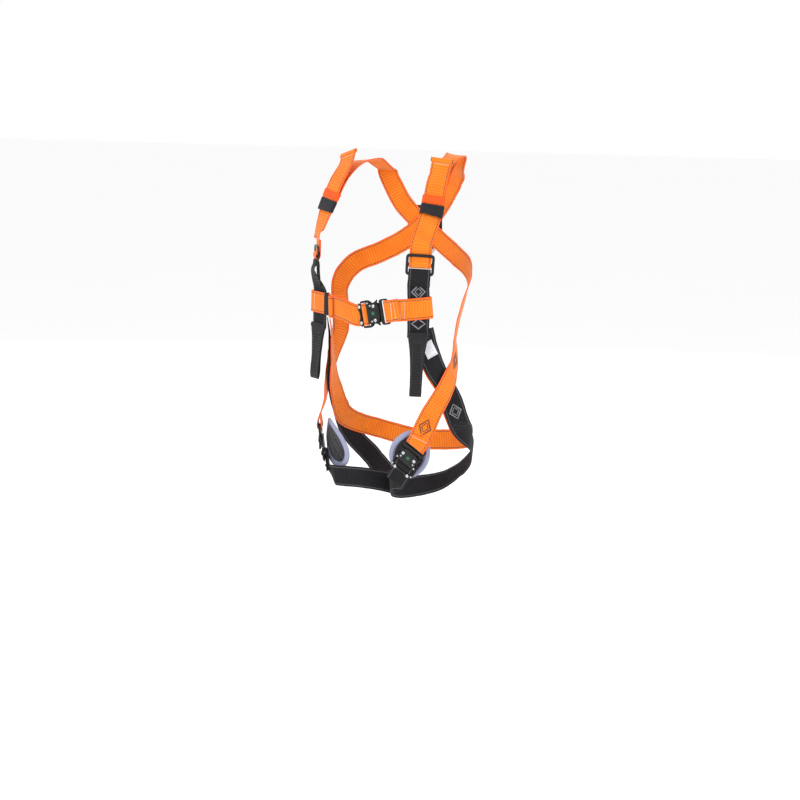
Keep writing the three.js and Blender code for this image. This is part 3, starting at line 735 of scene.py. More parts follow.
def webbing_material(name, face, furrow_shade_and_mottle, edge, tracer, dashed, sheen=0.2):
    s = Surface(name, 0.8, sheen=sheen, specular=0.25)
    across, along = s.strap_position()
    furrow = along.wave(RIB_PITCH)
    row = (along * (1 / RIB_PITCH) + 0.5).floor()
    yarn = (across + row * 0.65).wave(1.3)
    picks = along.wave(RIB_PITCH / 4)
    clouds = s.noise(34)
    grain = s.noise(0.9, 2)
    line = across.size().band(TRACER_AT, 0.75, 0.35)
    if dashed:
        line = line * (along * (1 / RIB_PITCH)).fraction().band(0.5, 0.26, 0.06)
    # painted shade: the rounded selvedges take the edge colour, which the grain specks also use
    selvedge_shade = across.size().ramp(19.6, 22.2)
    # painted shade: the furrows between the ribs are coloured darker, in step with the yarn rows
    colour = s.mix(furrow * (yarn * 0.25 + 0.5), face, furrow_shade_and_mottle)
    # the same darker colour also mottles the webbing at random
    colour = s.mix(clouds.ramp(0.35, 0.8) * 0.35, colour, furrow_shade_and_mottle)
    colour = s.mix(grain.ramp(0.5, 0.9) * 0.25, colour, edge)
    colour = s.mix(selvedge_shade * 0.85, colour, edge)
    colour = s.mix(line, colour, tracer)
    s.colour(colour)
    s.roughness(clouds * 0.16 + 0.7)
    s.bump(yarn * (furrow * -0.6 + 0.8) + picks * 0.25 + grain * 0.3 - line * 0.2, 0.28)
    return s.material


def tape_material(name, face, shade, pitch=1.4, depth=0.2):
    """Smooth narrow-ribbed tape or elastic: fine cords along it, fine picks across it."""
    s = Surface(name, 0.82, sheen=0.15, specular=0.25)
    across, along = s.strap_position()
    cords = across.wave(pitch)
    picks = along.wave(pitch * 0.8)
    clouds = s.noise(16)
    s.colour(s.mix((cords * picks) * 0.55 + clouds * 0.3, face, shade))
    s.roughness(clouds * 0.2 + 0.68)
    s.bump(cords * 0.7 + picks * 0.5, depth)
    return s.material


def thread_material(name, colour):
    s = Surface(name, 0.6, sheen=0.2, specular=0.3)
    s.colour(s.mix(s.noise(1.6).ramp(0.35, 0.75) * 0.35, colour, tuple(c * 0.6 for c in colour)))
    s.bump(s.noise(0.5, 2), 0.1)
    return s.material


def coated_steel_material(name):
    """Black e-coated steel: satin and slightly orange-peeled, with painted highlights on its edges.
    """
    s = Surface(name, 0.36, metallic=0.0, specular=0.34, coat=0.1)
    clouds = s.noise(22)
    fine = s.noise(0.7, 3)
    geometry = s.tree.nodes.new("ShaderNodeNewGeometry")
    ridge = Value(s.tree, geometry.outputs["Pointiness"]).ramp(0.6, 0.75)
    # painted highlight: the convex edges, broken up by noise, are coloured light grey
    edge_highlight = ridge * s.noise(3.5).ramp(0.45, 0.75)
    colour = s.mix(clouds.ramp(0.3, 0.8) * 0.5, srgb(11, 11, 12), srgb(18, 18, 19))
    s.colour(s.mix(edge_highlight * 0.3, colour, srgb(96, 96, 98)))
    s.roughness(clouds * 0.2 + fine * 0.12 + 0.24)
    s.bump(fine * 0.6 + s.noise(4) * 0.4, 0.06)
    return s.material


def bright_steel_material(name):
    s = Surface(name, 0.2, metallic=1.0)
    fine = s.noise(0.9, 4)
    s.colour(s.mix(s.noise(8), srgb(214, 215, 218), srgb(186, 187, 190)))
    s.roughness(fine * 0.22 + 0.12)
    s.bump(fine, 0.03)
    return s.material


def plastic_material(name, colour, shade, roughness=0.45, grain=0.35):
    s = Surface(name, roughness, specular=0.45)
    fine = s.noise(grain, 2)
    clouds = s.noise(18)
    s.colour(s.mix(clouds.ramp(0.3, 0.8) * 0.6, colour, shade))
    s.roughness(clouds * 0.15 + (roughness - 0.08))
    s.bump(fine, 0.05)
    return s.material


def mesh_cloth_material(name, face, shade, cell=2.2):
    """Spacer mesh or lining cloth with a honeycomb of small cells."""
    s = Surface(name, 0.88, sheen=0.3, specular=0.2)
    x, y, z = s.position()
    first = (x + z * 0.5).wave(cell)
    second = (x - z * 0.5 + y * 0.2).wave(cell)
    cells = (first * second).ramp(0.05, 0.5)
    clouds = s.noise(20)
    s.colour(s.mix(cells * 0.5 + clouds * 0.3, face, shade))
    s.roughness(clouds * 0.14 + 0.78)
    s.bump(cells * -1.0 + s.noise(0.6, 2) * 0.3, 0.3)
    return s.material


def label_material(name):
    s = Surface(name, 0.55, specular=0.35)
    x, y, z = s.position()
    weave = (x + y).wave(0.9) * z.wave(0.9)
    s.colour(s.mix(weave * 0.35 + s.noise(12) * 0.3, srgb(228, 229, 233), srgb(196, 198, 204)))
    s.bump(weave, 0.06)
    return s.material


# Each webbing: face colour; painted furrow shade that also mottles the face; painted selvedge shade
# that also tints the grain; tracer colour.
ORANGE = webbing_material("webbing_orange", srgb(250, 138, 24), srgb(212, 92, 9),
                          srgb(255, 84, 12), srgb(52, 40, 66), True)
BLACK = webbing_material("webbing_black", srgb(27, 26, 30), srgb(11, 11, 13),
                         srgb(22, 21, 25), srgb(74, 74, 80), False, sheen=0.04)
PLAIN_BLACK = webbing_material("webbing_black_plain", srgb(36, 35, 39), srgb(17, 16, 19),
                               srgb(38, 37, 41), srgb(42, 41, 45), False, sheen=0.12)
ELASTIC = tape_material("elastic_black", srgb(34, 33, 38), srgb(18, 18, 22))
CUFF = tape_material("cuff_orange", srgb(255, 92, 18), srgb(226, 66, 10), 1.1, 0.12)
WHITE_THREAD = thread_material("thread_white", srgb(240, 236, 232))
RED_THREAD = thread_material("thread_red", srgb(250, 74, 20))
BLACK_THREAD = thread_material("thread_black", srgb(70, 69, 76))
GREY_THREAD = thread_material("thread_grey", srgb(128, 128, 134))
BROWN_THREAD = thread_material("thread_brown", srgb(112, 54, 40))
STEEL = coated_steel_material("steel_black")
BRIGHT = bright_steel_material("steel_bright")
PLASTIC = plastic_material("plastic_black", srgb(38, 38, 42), srgb(28, 28, 31))
GREEN = plastic_material("indicator_green", srgb(18, 104, 68), srgb(12, 80, 50), 0.25, 0.6)
PAD_FACE = mesh_cloth_material("pad_black", srgb(38, 37, 43), srgb(18, 18, 22))
PAD_RIM = tape_material("pad_rim", srgb(160, 164, 190), srgb(120, 124, 152), 1.0, 0.15)
PAD_RIM_SHADE = thread_material("pad_piping", srgb(104, 108, 134))
PAD_LINING = mesh_cloth_material("pad_lining", srgb(150, 154, 182), srgb(112, 116, 144), 1.8)
LABEL = label_material("label_grey")
PRINT = thread_material("label_print", srgb(104, 106, 114))


def finish(obj, material, body="harness", stands_for=()):
    """Gives a piece its material and its body, and hides the CAD nodes that it stands for.

    A piece with no body lies between two and is attached to neither.
    """
    obj.data.materials.clear()
    obj.data.materials.append(material)
    if body:
        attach(obj, body)
    if stands_for:
        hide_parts(*stands_for)
    return obj


# --- where the hardware sits
chest_frame = frame_on((-19, -127, -317), 9.5, (0.98, 0, 0.19))
left_leg_frame = frame_on((67, -97, -641), 17, (0.54, -0.28, 0.79))
right_leg_frame = frame_at((-131, -82.5, -642), (-0.12, 0, 0.99), (-0.88, -0.47, 0))
left_slide_frame = frame_on((110, -109, -206), 11, (-0.06, 0, -1))
right_slide_frame = frame_at((-153, -86, -205), (0, 0, -1), (-0.77, -0.64, 0))
left_cross = (102, -98, -297, FRONT_LIFT)
left_cross_frame = frame_on(left_cross[:3], FRONT_LIFT, (0.85, 0.5, 0.1))
right_cross_frame = frame_at((-147, -82, -303), (-0.94, 0.34, 0.04), (-0.34, -0.94, 0))
right_drop_frame = frame_at((-147, -82, -303), (0, 0, -1), (-0.34, -0.94, 0))


def tongue_wrap(place):
    """Webbing round the tongue's outer bar, from its sewn end to the upper layer."""
    return pins(place, ((102, 1.4), (84, 0.4), (76.8, -0.2), (71, 1.8), (69.6, 4.6), (71, 7.4),
                        (76.8, 9), (86, 7.6)), -1)


def slot_wrap(place):
    """Webbing that comes in under the slot end, wraps the floating bar and leaves over itself."""
    return pins(place, ((-8, -5.2), (12, -5.2), (21.4, -3.6), (23.9, 1.4), (21.5, 4.9),
                        (17.8, 5.8), (13.6, 4.6), (10.9, 1), (8, -2), (2, -2.4), (-8, -2.4)), -1)


def slide_upper(place):
    """Webbing that comes down over the upper bar of a slide and back up behind itself."""
    return pins(place, ((-42, -3.2), (-19, -3.4), (-8.6, -1.6), (-5.2, 2.4), (0, 4), (4.8, 2.2),
                        (5.8, -2), (0, -5.2), (-12, -6), (-34, -6)))


def slide_lower(place, slack=0, end=46):
    """Webbing that goes round the lower bar of a slide."""
    return pins(place, ((end, -4.2 - slack * 0.2), (26, -3.8), (17, -3.4), (9.6, -1.5), (9.8, 2.8),
                        (18.4, 4.2), (28, 3.6 + slack * 0.5)), -1)


def cross_loop(place, bottom):
    """The end of the chest strap round a front strap."""
    return pins(place, ((-24, 4.2), (-8, 4.1), (16, 4.1), (24.8, 3.2), (27, 0), (24.8, -3.2),
                        (16, -4.1), (-8, -4.1), (bottom, -3.6)))


def tail_roll(place):
    """The rolled end of the chest strap."""
    return pins(place, ((-3, 0), (4, 0.6), (7.2, 4), (5, 8.4), (0, 9.4), (-3.6, 6.4), (-1.6, 3.4)))


def hanging_loop(place, length):
    """A strap folded in half, down and back up."""
    gap = 1.8
    down = ((1, gap), (length * 0.5, gap), (length - 6, gap + 0.6))
    return pins(place, (*down, (length, 0), *((x, -z) for x, z in down[::-1])))


# --- routes of the webbing
def from_slide(place):
    return [(at, -across) for at, across in reversed(slide_upper(place))]


shoulder_left = [
    (112, -98, -150, LAYER_1 + 3), (113, -74, -112, LAYER_1), (113, -60, -82, LAYER_1),
    (114, -50, -52, LAYER_1), hold(118, -24, -14, (-0.98, -0.15, 0)), hold(121, 2, 4, (-1, 0, 0)),
    hold(117, 26, 7, (-0.98, 0.1, 0.1)), hold(104, 48, -16, (-0.93, 0.25, 0.2)),
    (76, 70, -54, LAYER_1 + 1), (45, 90, -102, LAYER_1),
]
shoulder_right = [
    hold(-151, -80, -156, (-0.78, 0.62, 0)), hold(-143, -68, -116, (-0.93, 0.37, 0)),
    hold(-133, -58, -82, (-0.96, 0.27, 0)), hold(-122, -47, -50, (-0.97, 0.2, 0)),
    (-111, -20, -12, LAYER_1 + 2), (-99, 20, -2, LAYER_1 + 6), (-88, 44, -14, LAYER_1 + 10),
    (-72, 70, -54, LAYER_1 + 3), (-45, 90, -102, LAYER_1 + 3),
]
hip_left = [
    (45, 98, -178, LAYER_1 + 3), (96, 84, -206, LAYER_1), (146, 50, -232, LAYER_1),
    (160, 12, -275, LAYER_1), (146, -2, -325, LAYER_1), (136, -8, -372, LAYER_2 + 3),
    (137, -24, -420, CROSSING), (135, -48, -458, CROSSING + 0.6), (122, -79, -512, CROSSING - 1.4),
]
hip_right = [
    (-45, 98, -178, LAYER_1), (-96, 84, -206, LAYER_1), (-146, 50, -232, LAYER_1),
    (-160, 12, -275, LAYER_1), (-146, -2, -325, LAYER_1), (-136, -12, -372, LAYER_2 + 4),
    (-137, -30, -420, CROSSING), (-139, -42, -458, CROSSING + 0.6), (-140, -64, -512, CROSSING),
]
main_routes = {
    "left": from_slide(left_slide_frame) + shoulder_left + [(0, 98, -145, LAYER_1)]
    + hip_right + tongue_wrap(right_leg_frame)[::-1],
    "right": from_slide(right_slide_frame) + shoulder_right + [(0, 98, -145, LAYER_1 + 3)]
    + hip_left + tongue_wrap(left_leg_frame)[::-1],
}
rescue_routes = {
    "left": [
        (113, -66, -96, LAYER_2 + 0.4), (113, -60, -82, LAYER_2 + 0.4),
        (114, -50, -52, LAYER_2 + 1),
        hold(116, -42, -24, (-0.98, -0.15, 0)), hold(117.5, -34, 3, (-0.97, -0.24, 0)),
    ],
    "right": [
        hold(-141.4, -68.5, -105, (-0.94, 0.34, 0)), hold(-134.3, -61.8, -80.6, (-0.96, 0.27, 0)),
        hold(-123.6, -52.4, -48, (-0.96, 0.27, 0)), hold(-115, -44, -27, (-0.94, 0.32, 0)),
        hold(-113, -32, -9, (-0.92, 0.37, 0)), hold(-116, -18, 11, (-0.92, 0.39, 0)),
    ],
}
front_routes = {
    "left": slide_lower(left_slide_frame) + [
        (106, -108, -248, FRONT_LIFT), left_cross, (101, -98, -330, FRONT_LIFT + 2),
        (100, -96, -350, FRONT_LIFT + 3),
    ],
    "right": slide_lower(right_slide_frame, 8, 62)
    + pins(right_drop_frame, ((-24, 0), (0, 0), (26, 0), (48, 0)), -1),
}
chest_left_route = tongue_wrap(chest_frame) + cross_loop(left_cross_frame, -18)
chest_right_route = (
    cross_loop(right_cross_frame, -20)[::-1] + [(-108, -97, -304, 6), (-78, -112, -307, 4.6)]
    + slot_wrap(chest_frame) + [(-66, -117, -309, 8.8), (-78, -112.5, -307.5, 9.4)]
    + tail_roll(frame_on((-91, -106, -306), 10.4, (-0.85, 0.5, 0.05)))
)
hip_leads = {
    "left": [
        (108, -92, -342, 5.4), (114, -82, -382, 6.2), (125, -66, -428, 8), (136, -45, -464, 8),
        hold(147, -30, -499, (0.77, 0.52, 0.35)), hold(153, -4, -551, (0.72, 0.6, 0.33)),
        (140, 40, -596, 8),
    ],
    "right": [
        (-142, -76, -342, 7), (-143, -70, -382, 8), (-140, -58, -428, 8), (-139, -42, -464, 8),
        (-142, -22, -500, 8), (-146, 8, -550, 8), (-140, 40, -596, 8),
    ],
}


def leg_slot(place, tail):
    return [pin(place, -24, -5.6, -1)] + slot_wrap(place) + [pin(place, tail, -2.2, -1)]


leg_routes = {
    "left": hip_leads["left"] + [
        (112, 74, -650, LAYER_2), (74, 66, -684, LAYER_1), (34, 34, -700, LAYER_1),
        (13, -4, -701, LAYER_1), (14, -50, -684, LAYER_1 + 3), (38, -84, -665, PAD_GAP + 3),
    ] + leg_slot(left_leg_frame, -30),
    "right": hip_leads["right"] + [
        (-112, 74, -650, LAYER_2), (-74, 66, -684, LAYER_1), (-34, 34, -700, LAYER_1),
        (-12, -4, -693, LAYER_1), (-14, -46, -679, LAYER_1 + 2), (-40, -80, -669, PAD_GAP),
        (-68, -90, -667, PAD_GAP + 3), (-92, -92, -667, PAD_GAP + 8),
    ] + leg_slot(right_leg_frame, -22),
}
SEAT_DROP = 3
SEAT_BELOW = 5


def seat_under(stops):
    return [(x, y, z - SEAT_DROP, lift - SEAT_BELOW) for x, y, z, lift in stops]


seat_route = seat_under(hip_leads["right"][:-1]) + [
    (-132, 62, -586, 2.4), (-78, 98, -606, LAYER_1), (0, 96, -612, LAYER_1),
    (78, 98, -606, LAYER_1), (132, 62, -586, 2.4),
    hold(148, 5, -557, (0.72, 0.6, 0.33)), hold(139.2, -21.5, -505.5, (0.77, 0.52, 0.35)),
] + seat_under(hip_leads["left"][:4])[::-1]
loop_frames = {
    "left": frame_at((107, -108, -353), (-0.02, -0.04, -1), (0.5, -0.86, 0)),
    "right": frame_at((-149, -84, -354), (-0.07, -0.02, -1), (-0.3, -0.95, 0)),
}
LOOP_LENGTH = {"left": 124, "right": 112}
LOOP_WIDTH = 25
LOOP_TOP = 42
TONGUE_END = 165             # length of the end piece of a main strap, at its tongue
TONGUE_WRAP = 44             # length of it from its sewn end to the tongue


# --- the straps
def main_straps():
    for shoulder, route in main_routes.items():
        leg = "right" if shoulder == "left" else "left"
        strap = follow(route)
        split = strap.length - TONGUE_END
        whole = strip(f"main_webbing_{shoulder}", strap.stretch(0, split), seed=2.0)
        finish(whole, ORANGE, stands_for=[f"main_strap_{shoulder}_shoulder"])
        end = strip(f"main_webbing_end_{leg}", strap.stretch(split, strap.length), seed=3.0,
                    start=split, waver=0.0)
        finish(end, ORANGE, None, [f"main_strap_end_{leg}_leg"])
        shoulder_sleeves(shoulder, strap)
        tongue_end(leg, strap, end)


BAND_START = {"left": 162, "right": 149}
BAND_LENGTH = 26
CUFF_LENGTH = 17
SHOULDER_STACK = (-1.9, 6.2)  # from under the lower layer of webbing to over the upper one


def shoulder_sleeves(side, strap):
    band = sleeve(f"elastic_{side}", strap, BAND_START[side], BAND_LENGTH, *SHOULDER_STACK, 0.12)
    finish(band, ELASTIC, stands_for=[f"elastic_band_{side}"])
    cuff_start = BAND_START[side] + BAND_LENGTH + 2
    cuff = sleeve(f"cuff_{side}", strap, cuff_start, CUFF_LENGTH, *SHOULDER_STACK)
    finish(cuff, CUFF, stands_for=[f"orange_cuff_{side}"])
    rows = lines(20, cuff_start + 2.2, cuff_start + (CUFF_LENGTH - 2.2))
    finish(stitching(f"cuff_stitching_{side}", strap, rows, 7.3, 0.3), RED_THREAD)


def bend(pieces, far, near):
    """Bakes the transform of each piece into its mesh; the pieces are not bent."""
    for piece in pieces:
        tuple(far * MM)
        tuple(near * MM)
        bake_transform(piece)


def bend_end(pieces, strap, near):
    """Finds the start of the tongue end of a main strap and a spot along it, and bakes the pieces'
    transforms.
    """
    far, near = strap.at_distance([strap.length - TONGUE_END, near])[0]
    bend(pieces, far, near)


def tongue_end(leg, strap, end):
    """The stitching that closes the webbing round the tongue."""
    wrapped = strap.length - TONGUE_WRAP
    first, second = wrapped - 15, wrapped - 21
    white = stitching(f"leg_strap_stitching_{leg}", strap, lines(19, first), STITCH_LIFT)
    red = stitching(f"leg_strap_bartack_{leg}", strap,
                    [zigzag(second, second - 2.4, 19, 15), *lines(19, second)], STITCH_LIFT, 0.36)
    finish(white, WHITE_THREAD, None)
    finish(red, RED_THREAD, None)
    bend_end((end, white, red), strap, wrapped - 42)


def hem(name, part, outline, swell, squeeze=1.0):
    """An edge folded over part of a strap: an outline whose height is multiplied by swell."""
    rings = [at + across * outline[:, :1] + up * outline[:, 1:] * tall
             for at, across, up, tall in zip(part.at, part.across, part.up, swell)]
    uv = np.column_stack([np.tile(outline[:, 0] * squeeze, len(rings)),
                          np.repeat(part.along, len(outline))])
    return new_object(name, *loft(rings), uv)


def arch(part, length, power):
    """0 at the ends of that length of a strap and 1 in its middle."""
    return np.sin(math.pi * np.clip(part.along / length, 0, 1)) ** power


def rescue_loops():
    hem_length = 9
    outline = section(49, 7, rounding=8)
    for side, route in rescue_routes.items():
        strap = follow(route)
        body = strip(f"rescue_strip_{side}", strap, WEB_WIDTH - 1, 2.4, seed=5.0)
        hem_part = strap.stretch(strap.length - hem_length, strap.length, 0.9)
        swell = 0.45 + 0.55 * arch(hem_part, hem_length, 0.5)
        hem_piece = hem(f"rescue_hem_{side}", hem_part, outline, swell, 0.8)
        finish(body, ORANGE, stands_for=[f"rescue_loop_{side}"])
        finish(hem_piece, ORANGE)
        rows = lines(19, strap.length - hem_length - 3)
        for face, label in ((1, "front"), (-1, "back")):
            name = f"rescue_stitching_{label}_{side}"
            finish(stitching(name, strap, rows, 1.5 * face), WHITE_THREAD)


def outer_face(strap):
    """The side of a strap that faces away from the wearer, halfway along it: 1 or -1."""
    middle = len(strap.at) // 2
    away = outward(strap.at[middle:middle + 1])[0]
    return 1 if strap.up[middle] @ away > 0 else -1


def front_straps():
    for side, route in front_routes.items():
        strap = follow(route)
        piece = strip(f"front_webbing_{side}", strap, seed=7.0)
        finish(piece, BLACK, stands_for=[f"front_strap_{side}"])
        face = outer_face(strap)
        middle = strap.length * 0.52
        if side == "left":
            upper, lower = strap.length - 88, strap.length - 22
            shapes = [(upper, 16, 15, 2.6), (upper, 9, 8, 1.6), (lower, 12, 15, 2.6)]
            finish(marks("front_strap_marks", strap, shapes, face), GREY_THREAD)
        rows = lines(18, middle, middle + 4)
        finish(stitching(f"front_stitching_{side}", strap, rows, 1.2 * face), BLACK_THREAD)


KEEPER_START, KEEPER_LENGTH = 101.5, 13


def chest_strap():
    left = follow(chest_left_route)
    piece = strip("chest_webbing_left", left, seed=8.0, waver=0.1)
    finish(piece, ORANGE, None, ["chest_strap_left"])
    start = 58
    zig = [(-17, start), (17, start + 5), (-17, start + 10), (17, start + 15), (-17, start + 20)]
    rows = [*lines(18, start - 4), zig, *lines(-18, start + 24)]
    up = left.at_distance([start])[2][0]
    face = 1 if up @ chest_frame[:, 2] > 0 else -1
    sewn = stitching("chest_stitching_left", left, rows, 1.25 * face)
    finish(sewn, WHITE_THREAD, None)
    bend((piece, sewn), to_world(left_cross_frame, (8, 0, 0)),
         to_world(chest_frame, (88, 0, 6)))

    right = follow(chest_right_route)
    piece = strip("chest_webbing_right", right, seed=9.0, waver=0.15)
    finish(piece, ORANGE, stands_for=["chest_strap_right"])
    keeper = sleeve("keeper", right, KEEPER_START, KEEPER_LENGTH, -2.2, 2.2)
    finish(keeper, ELASTIC, stands_for=["chest_keeper"])
    tail = right.length
    for label, spots in (("end", (66,)), ("tail", (tail - 22, tail - 27))):
        for face, lift in (("front", STITCH_LIFT), ("back", -STITCH_LIFT)):
            name = f"chest_{label}_stitching_{face}"
            finish(stitching(name, right, lines(18, *spots), lift), WHITE_THREAD)


HIP_MARK = {"left": (150, -22, -517), "right": (-145, -10, -520)}


def nearest(strap, spot):
    """How far along a strap a spot is."""
    return strap.along[np.argmin(np.linalg.norm(strap.at - np.array(spot), axis=1))]


def hip_and_leg_straps():
    for side, route in leg_routes.items():
        strap = follow(route)
        piece = strip(f"leg_webbing_{side}", strap, seed=11.0, waver=0.3)
        finish(piece, BLACK, stands_for=[f"hip_leg_strap_{side}"])
        middle = nearest(strap, HIP_MARK[side])
        finish(marks_at(f"hip_marks_{side}", strap, middle), GREY_THREAD)
        rows = lines(17, 8, 12) + [zigzag(s, s + 10, 17, 5) for s in (222, 232)]
        finish(stitching(f"hip_stitching_{side}", strap, rows, 1.2), BLACK_THREAD)
    seat = follow(seat_route)
    finish(strip("seat_webbing", seat, seed=13.0, waver=0.2), ORANGE, stands_for=["seat_strap"])


def front_loops():
    for side, place in loop_frames.items():
        strap = follow(hanging_loop(place, LOOP_LENGTH[side]))
        taper = lambda share: LOOP_WIDTH + (LOOP_TOP - LOOP_WIDTH) * np.abs(2 * share - 1) ** 3
        piece = strip(f"loop_webbing_{side}", strap, taper, seed=15.0, rib=0.3, waver=0.2)
        finish(piece, PLAIN_BLACK, f"front_loop_{side}", [f"front_loop_{side}"])
        half = strap.length / 2
        rows = [[(x, 20), (x, half - 12)] for x in (-9.5, 9.5)]
        rows += lines(11, 7, 12)
        sewn = stitching(f"loop_stitching_{side}", strap, rows, 1.25)
        finish(sewn, BLACK_THREAD, f"front_loop_{side}")
        seam = follow(pins(place, ((-6.5, 0), (0, 0), (4.5, 0))), 0.9)
        swell = 1.2 + 5.4 * arch(seam, seam.length, 0.7)
        outline = section(WEB_WIDTH, 1.0, rounding=8)
        finish(hem(f"loop_seam_{side}", seam, outline, swell), PLAIN_BLACK)


def orange_marks():
    """The two marks on the left leg half of the orange webbing."""
    strap = follow(main_routes["right"])
    end = strap.length - 86
    lower = marks_at("orange_marks", strap, end)
    finish(lower, BROWN_THREAD, None)
    upper = nearest(strap, (140, -20, -412))
    finish(marks_at("orange_marks_upper", strap, upper), BROWN_THREAD)
    bend_end([lower], strap, end)


# --- quick-connect buckles
BASE_OUTLINE = mirrored([
    (3.5, 0), (2.5, 6), (0, 11), (-1, 16), (1, 21.5), (5, 25.5), (11, 28), (27, 28.5),
    (33, 26), (37, 21.5), (43, 20.5), (54, 20), (57, 17),
])
COVER_OUTLINE = mirrored([
    (27.5, 0), (27.5, 27), (32, 24.5), (36, 20), (43, 18.6), (50, 19), (54.5, 15), (56, 8),
])
RIM_OUTLINE = mirrored([
    (5.2, 0), (4.4, 8), (2.2, 13), (2, 19), (5, 23.6), (11, 26.2), (26.4, 26.6), (28.4, 22),
    (28.4, 0),
])
RAISED_OUTLINE = mirrored([
    (30, 0), (30, 10), (33, 13), (37, 8), (50, 7.4), (53, 4), (54, 0),
])
LEVER_OUTLINE = [
    (36, 13.5), (40, 11.3), (47, 10.6), (50.6, 12.4), (51.5, 17), (52.5, 22.4), (54, 27.5),
    (50, 24.6), (45, 22), (40, 20.4), (36, 17.5),
]
BLADE_OUTLINE = mirrored([(34, 0), (34, 7), (37, 9.4), (54, 9.4), (56, 10)])
YOKE_OUTLINE = [(57.5, -23), (61, -26.5), (76, -26.5), (80, -23), (80, 23), (76, 26.5),
                (61, 26.5), (57.5, 23)]
SLOT_START, SLOT_END, SLOT_HALF = 8, 26, 23.6
COVER_TOP = 8.9
PIVOT = (45, 14.5)


def buckle(prefix, place):
    node = lambda piece: f"{prefix}_buckle_{piece}"
    slot_hole = rounded(box(SLOT_START, SLOT_END, SLOT_HALF), 2.5)[::-1]
    base = plate(f"{prefix}_base", rounded(BASE_OUTLINE, 5), 0, 2.6, place, [slot_hole], 0.7)
    rim_hole = rounded(box(SLOT_START - 1.4, SLOT_END + 1.2, SLOT_HALF + 0.8), 3)[::-1]
    rim = plate(f"{prefix}_rim", rounded(RIM_OUTLINE, 3), 2.4, 1.4, place, [rim_hole], 0.45)
    bar_outline = rounded(box(14.4, 21.2, SLOT_HALF - 0.7), 1)
    bar = plate(f"{prefix}_bar", bar_outline, -0.4, 3.4, place, bevel=1.5)
    cover = plate(f"{prefix}_cover", rounded(COVER_OUTLINE, 4), 6.5, 2.4, place, bevel=0.8)
    raised = plate(f"{prefix}_raised", rounded(RAISED_OUTLINE, 3), 8.7, 0.9, place, bevel=0.4)
    finish(join(f"{prefix}_body", [base, rim]), STEEL, stands_for=[node("base")])
    finish(bar, STEEL, stands_for=[node("bar")])
    finish(join(f"{prefix}_housing", [cover, raised]), STEEL, stands_for=[node("cover")])
    finish(turned(f"{prefix}_indicator", dome(3.9, 0.9), [(42, 0, 9.3)], place), GREEN,
           stands_for=[node("indicator")])
    sides = (-1, 1)
    washer = [(5.2, -0.2), (5.2, 0.25), (4.9, 0.55), (1.6, 0.55)]
    pivots = [(PIVOT[0], side * PIVOT[1]) for side in sides]
    finish(turned(f"{prefix}_washers", washer, [(*at, COVER_TOP) for at in pivots], place), STEEL)
    big = turned(f"{prefix}_rivets", dome(3.7, 2.2), [
        *((4.6, side * 16.6, 2.7) for side in sides), *((*at, 9.1) for at in pivots)], place)
    small = turned(f"{prefix}_small_rivets", dome(1.9, 1.3), [
        (x, side * y, z)
        for x, y, z in ((30.5, 22, COVER_TOP), (36.3, 16, COVER_TOP), (8.4, 24.6, 3.7))
        for side in (1, -1)
    ], place)
    legs = turned(f"{prefix}_pins", [(2.6, 0), (2.6, 3.7)], [(*at, 2.8) for at in pivots], place)
    finish(join(f"{prefix}_rivet_heads", [big, small, legs]), BRIGHT)
    for label, side in (("upper", 1), ("lower", -1)):
        outline = [(x, side * y) for x, y in LEVER_OUTLINE]
        hole = round_hole(PIVOT[0], side * PIVOT[1], 3, 24)
        lever = f"{prefix}_lever_{label}"
        parts = [plate(f"{lever}_a", rounded(outline, 2.2), 3, 3.1, place, [hole], 0.45)]
        for k, (x, y) in enumerate(((46.4, 22.4), (48.2, 23.3), (50.0, 24.3))):
            ridge = [(x + dx, side * (y + dy))
                     for dx, dy in ((-0.35, -1.3), (0.35, -1.3), (0.9, 0.5), (0.1, 0.5))]
            parts.append(plate(f"{prefix}_grip_{label}_{k}", ridge, 3.2, 2.7, place, bevel=0.15))
        finish(join(lever, parts), STEEL, lever, [node(f"lever_{label}")])
    blade = plate(f"{prefix}_blade", rounded(BLADE_OUTLINE, 1.6), 3, 3.1, place, bevel=0.5)
    neck = plate(f"{prefix}_neck", box(53, 60, 9), 3.05, 3.0, place, bevel=0.5)
    window = rounded(box(64.5, 73.5, SLOT_HALF - 0.4), 3)[::-1]
    yoke = plate(f"{prefix}_yoke", rounded(YOKE_OUTLINE, 5), 2.2, 4.7, place, [window], 1.9)
    tongue = f"{prefix}_tongue"
    finish(join(tongue, [blade, neck, yoke]), STEEL, tongue, [node("tongue")])


def slide(side, place):
    length, width, bar, thick = 44, 58, 6, 3.2
    pitch = (length - bar) / 2
    reach = (pitch - bar) / 2
    holes = [
        rounded(box(middle - reach, middle + reach, WEB_WIDTH / 2 + 1), 2.5)[::-1]
        for middle in (-pitch / 2, pitch / 2)
    ]
    outline = box(-length / 2, length / 2, width / 2)
    body = plate(f"slide_body_{side}", rounded(outline, 8, 6), -thick / 2, thick, place, holes, 1.2)
    finish(body, STEEL, stands_for=[f"slide_{side}"])


# --- dorsal plate and ring
RING_AXIS = 9
RING_RADIUS = 4.5


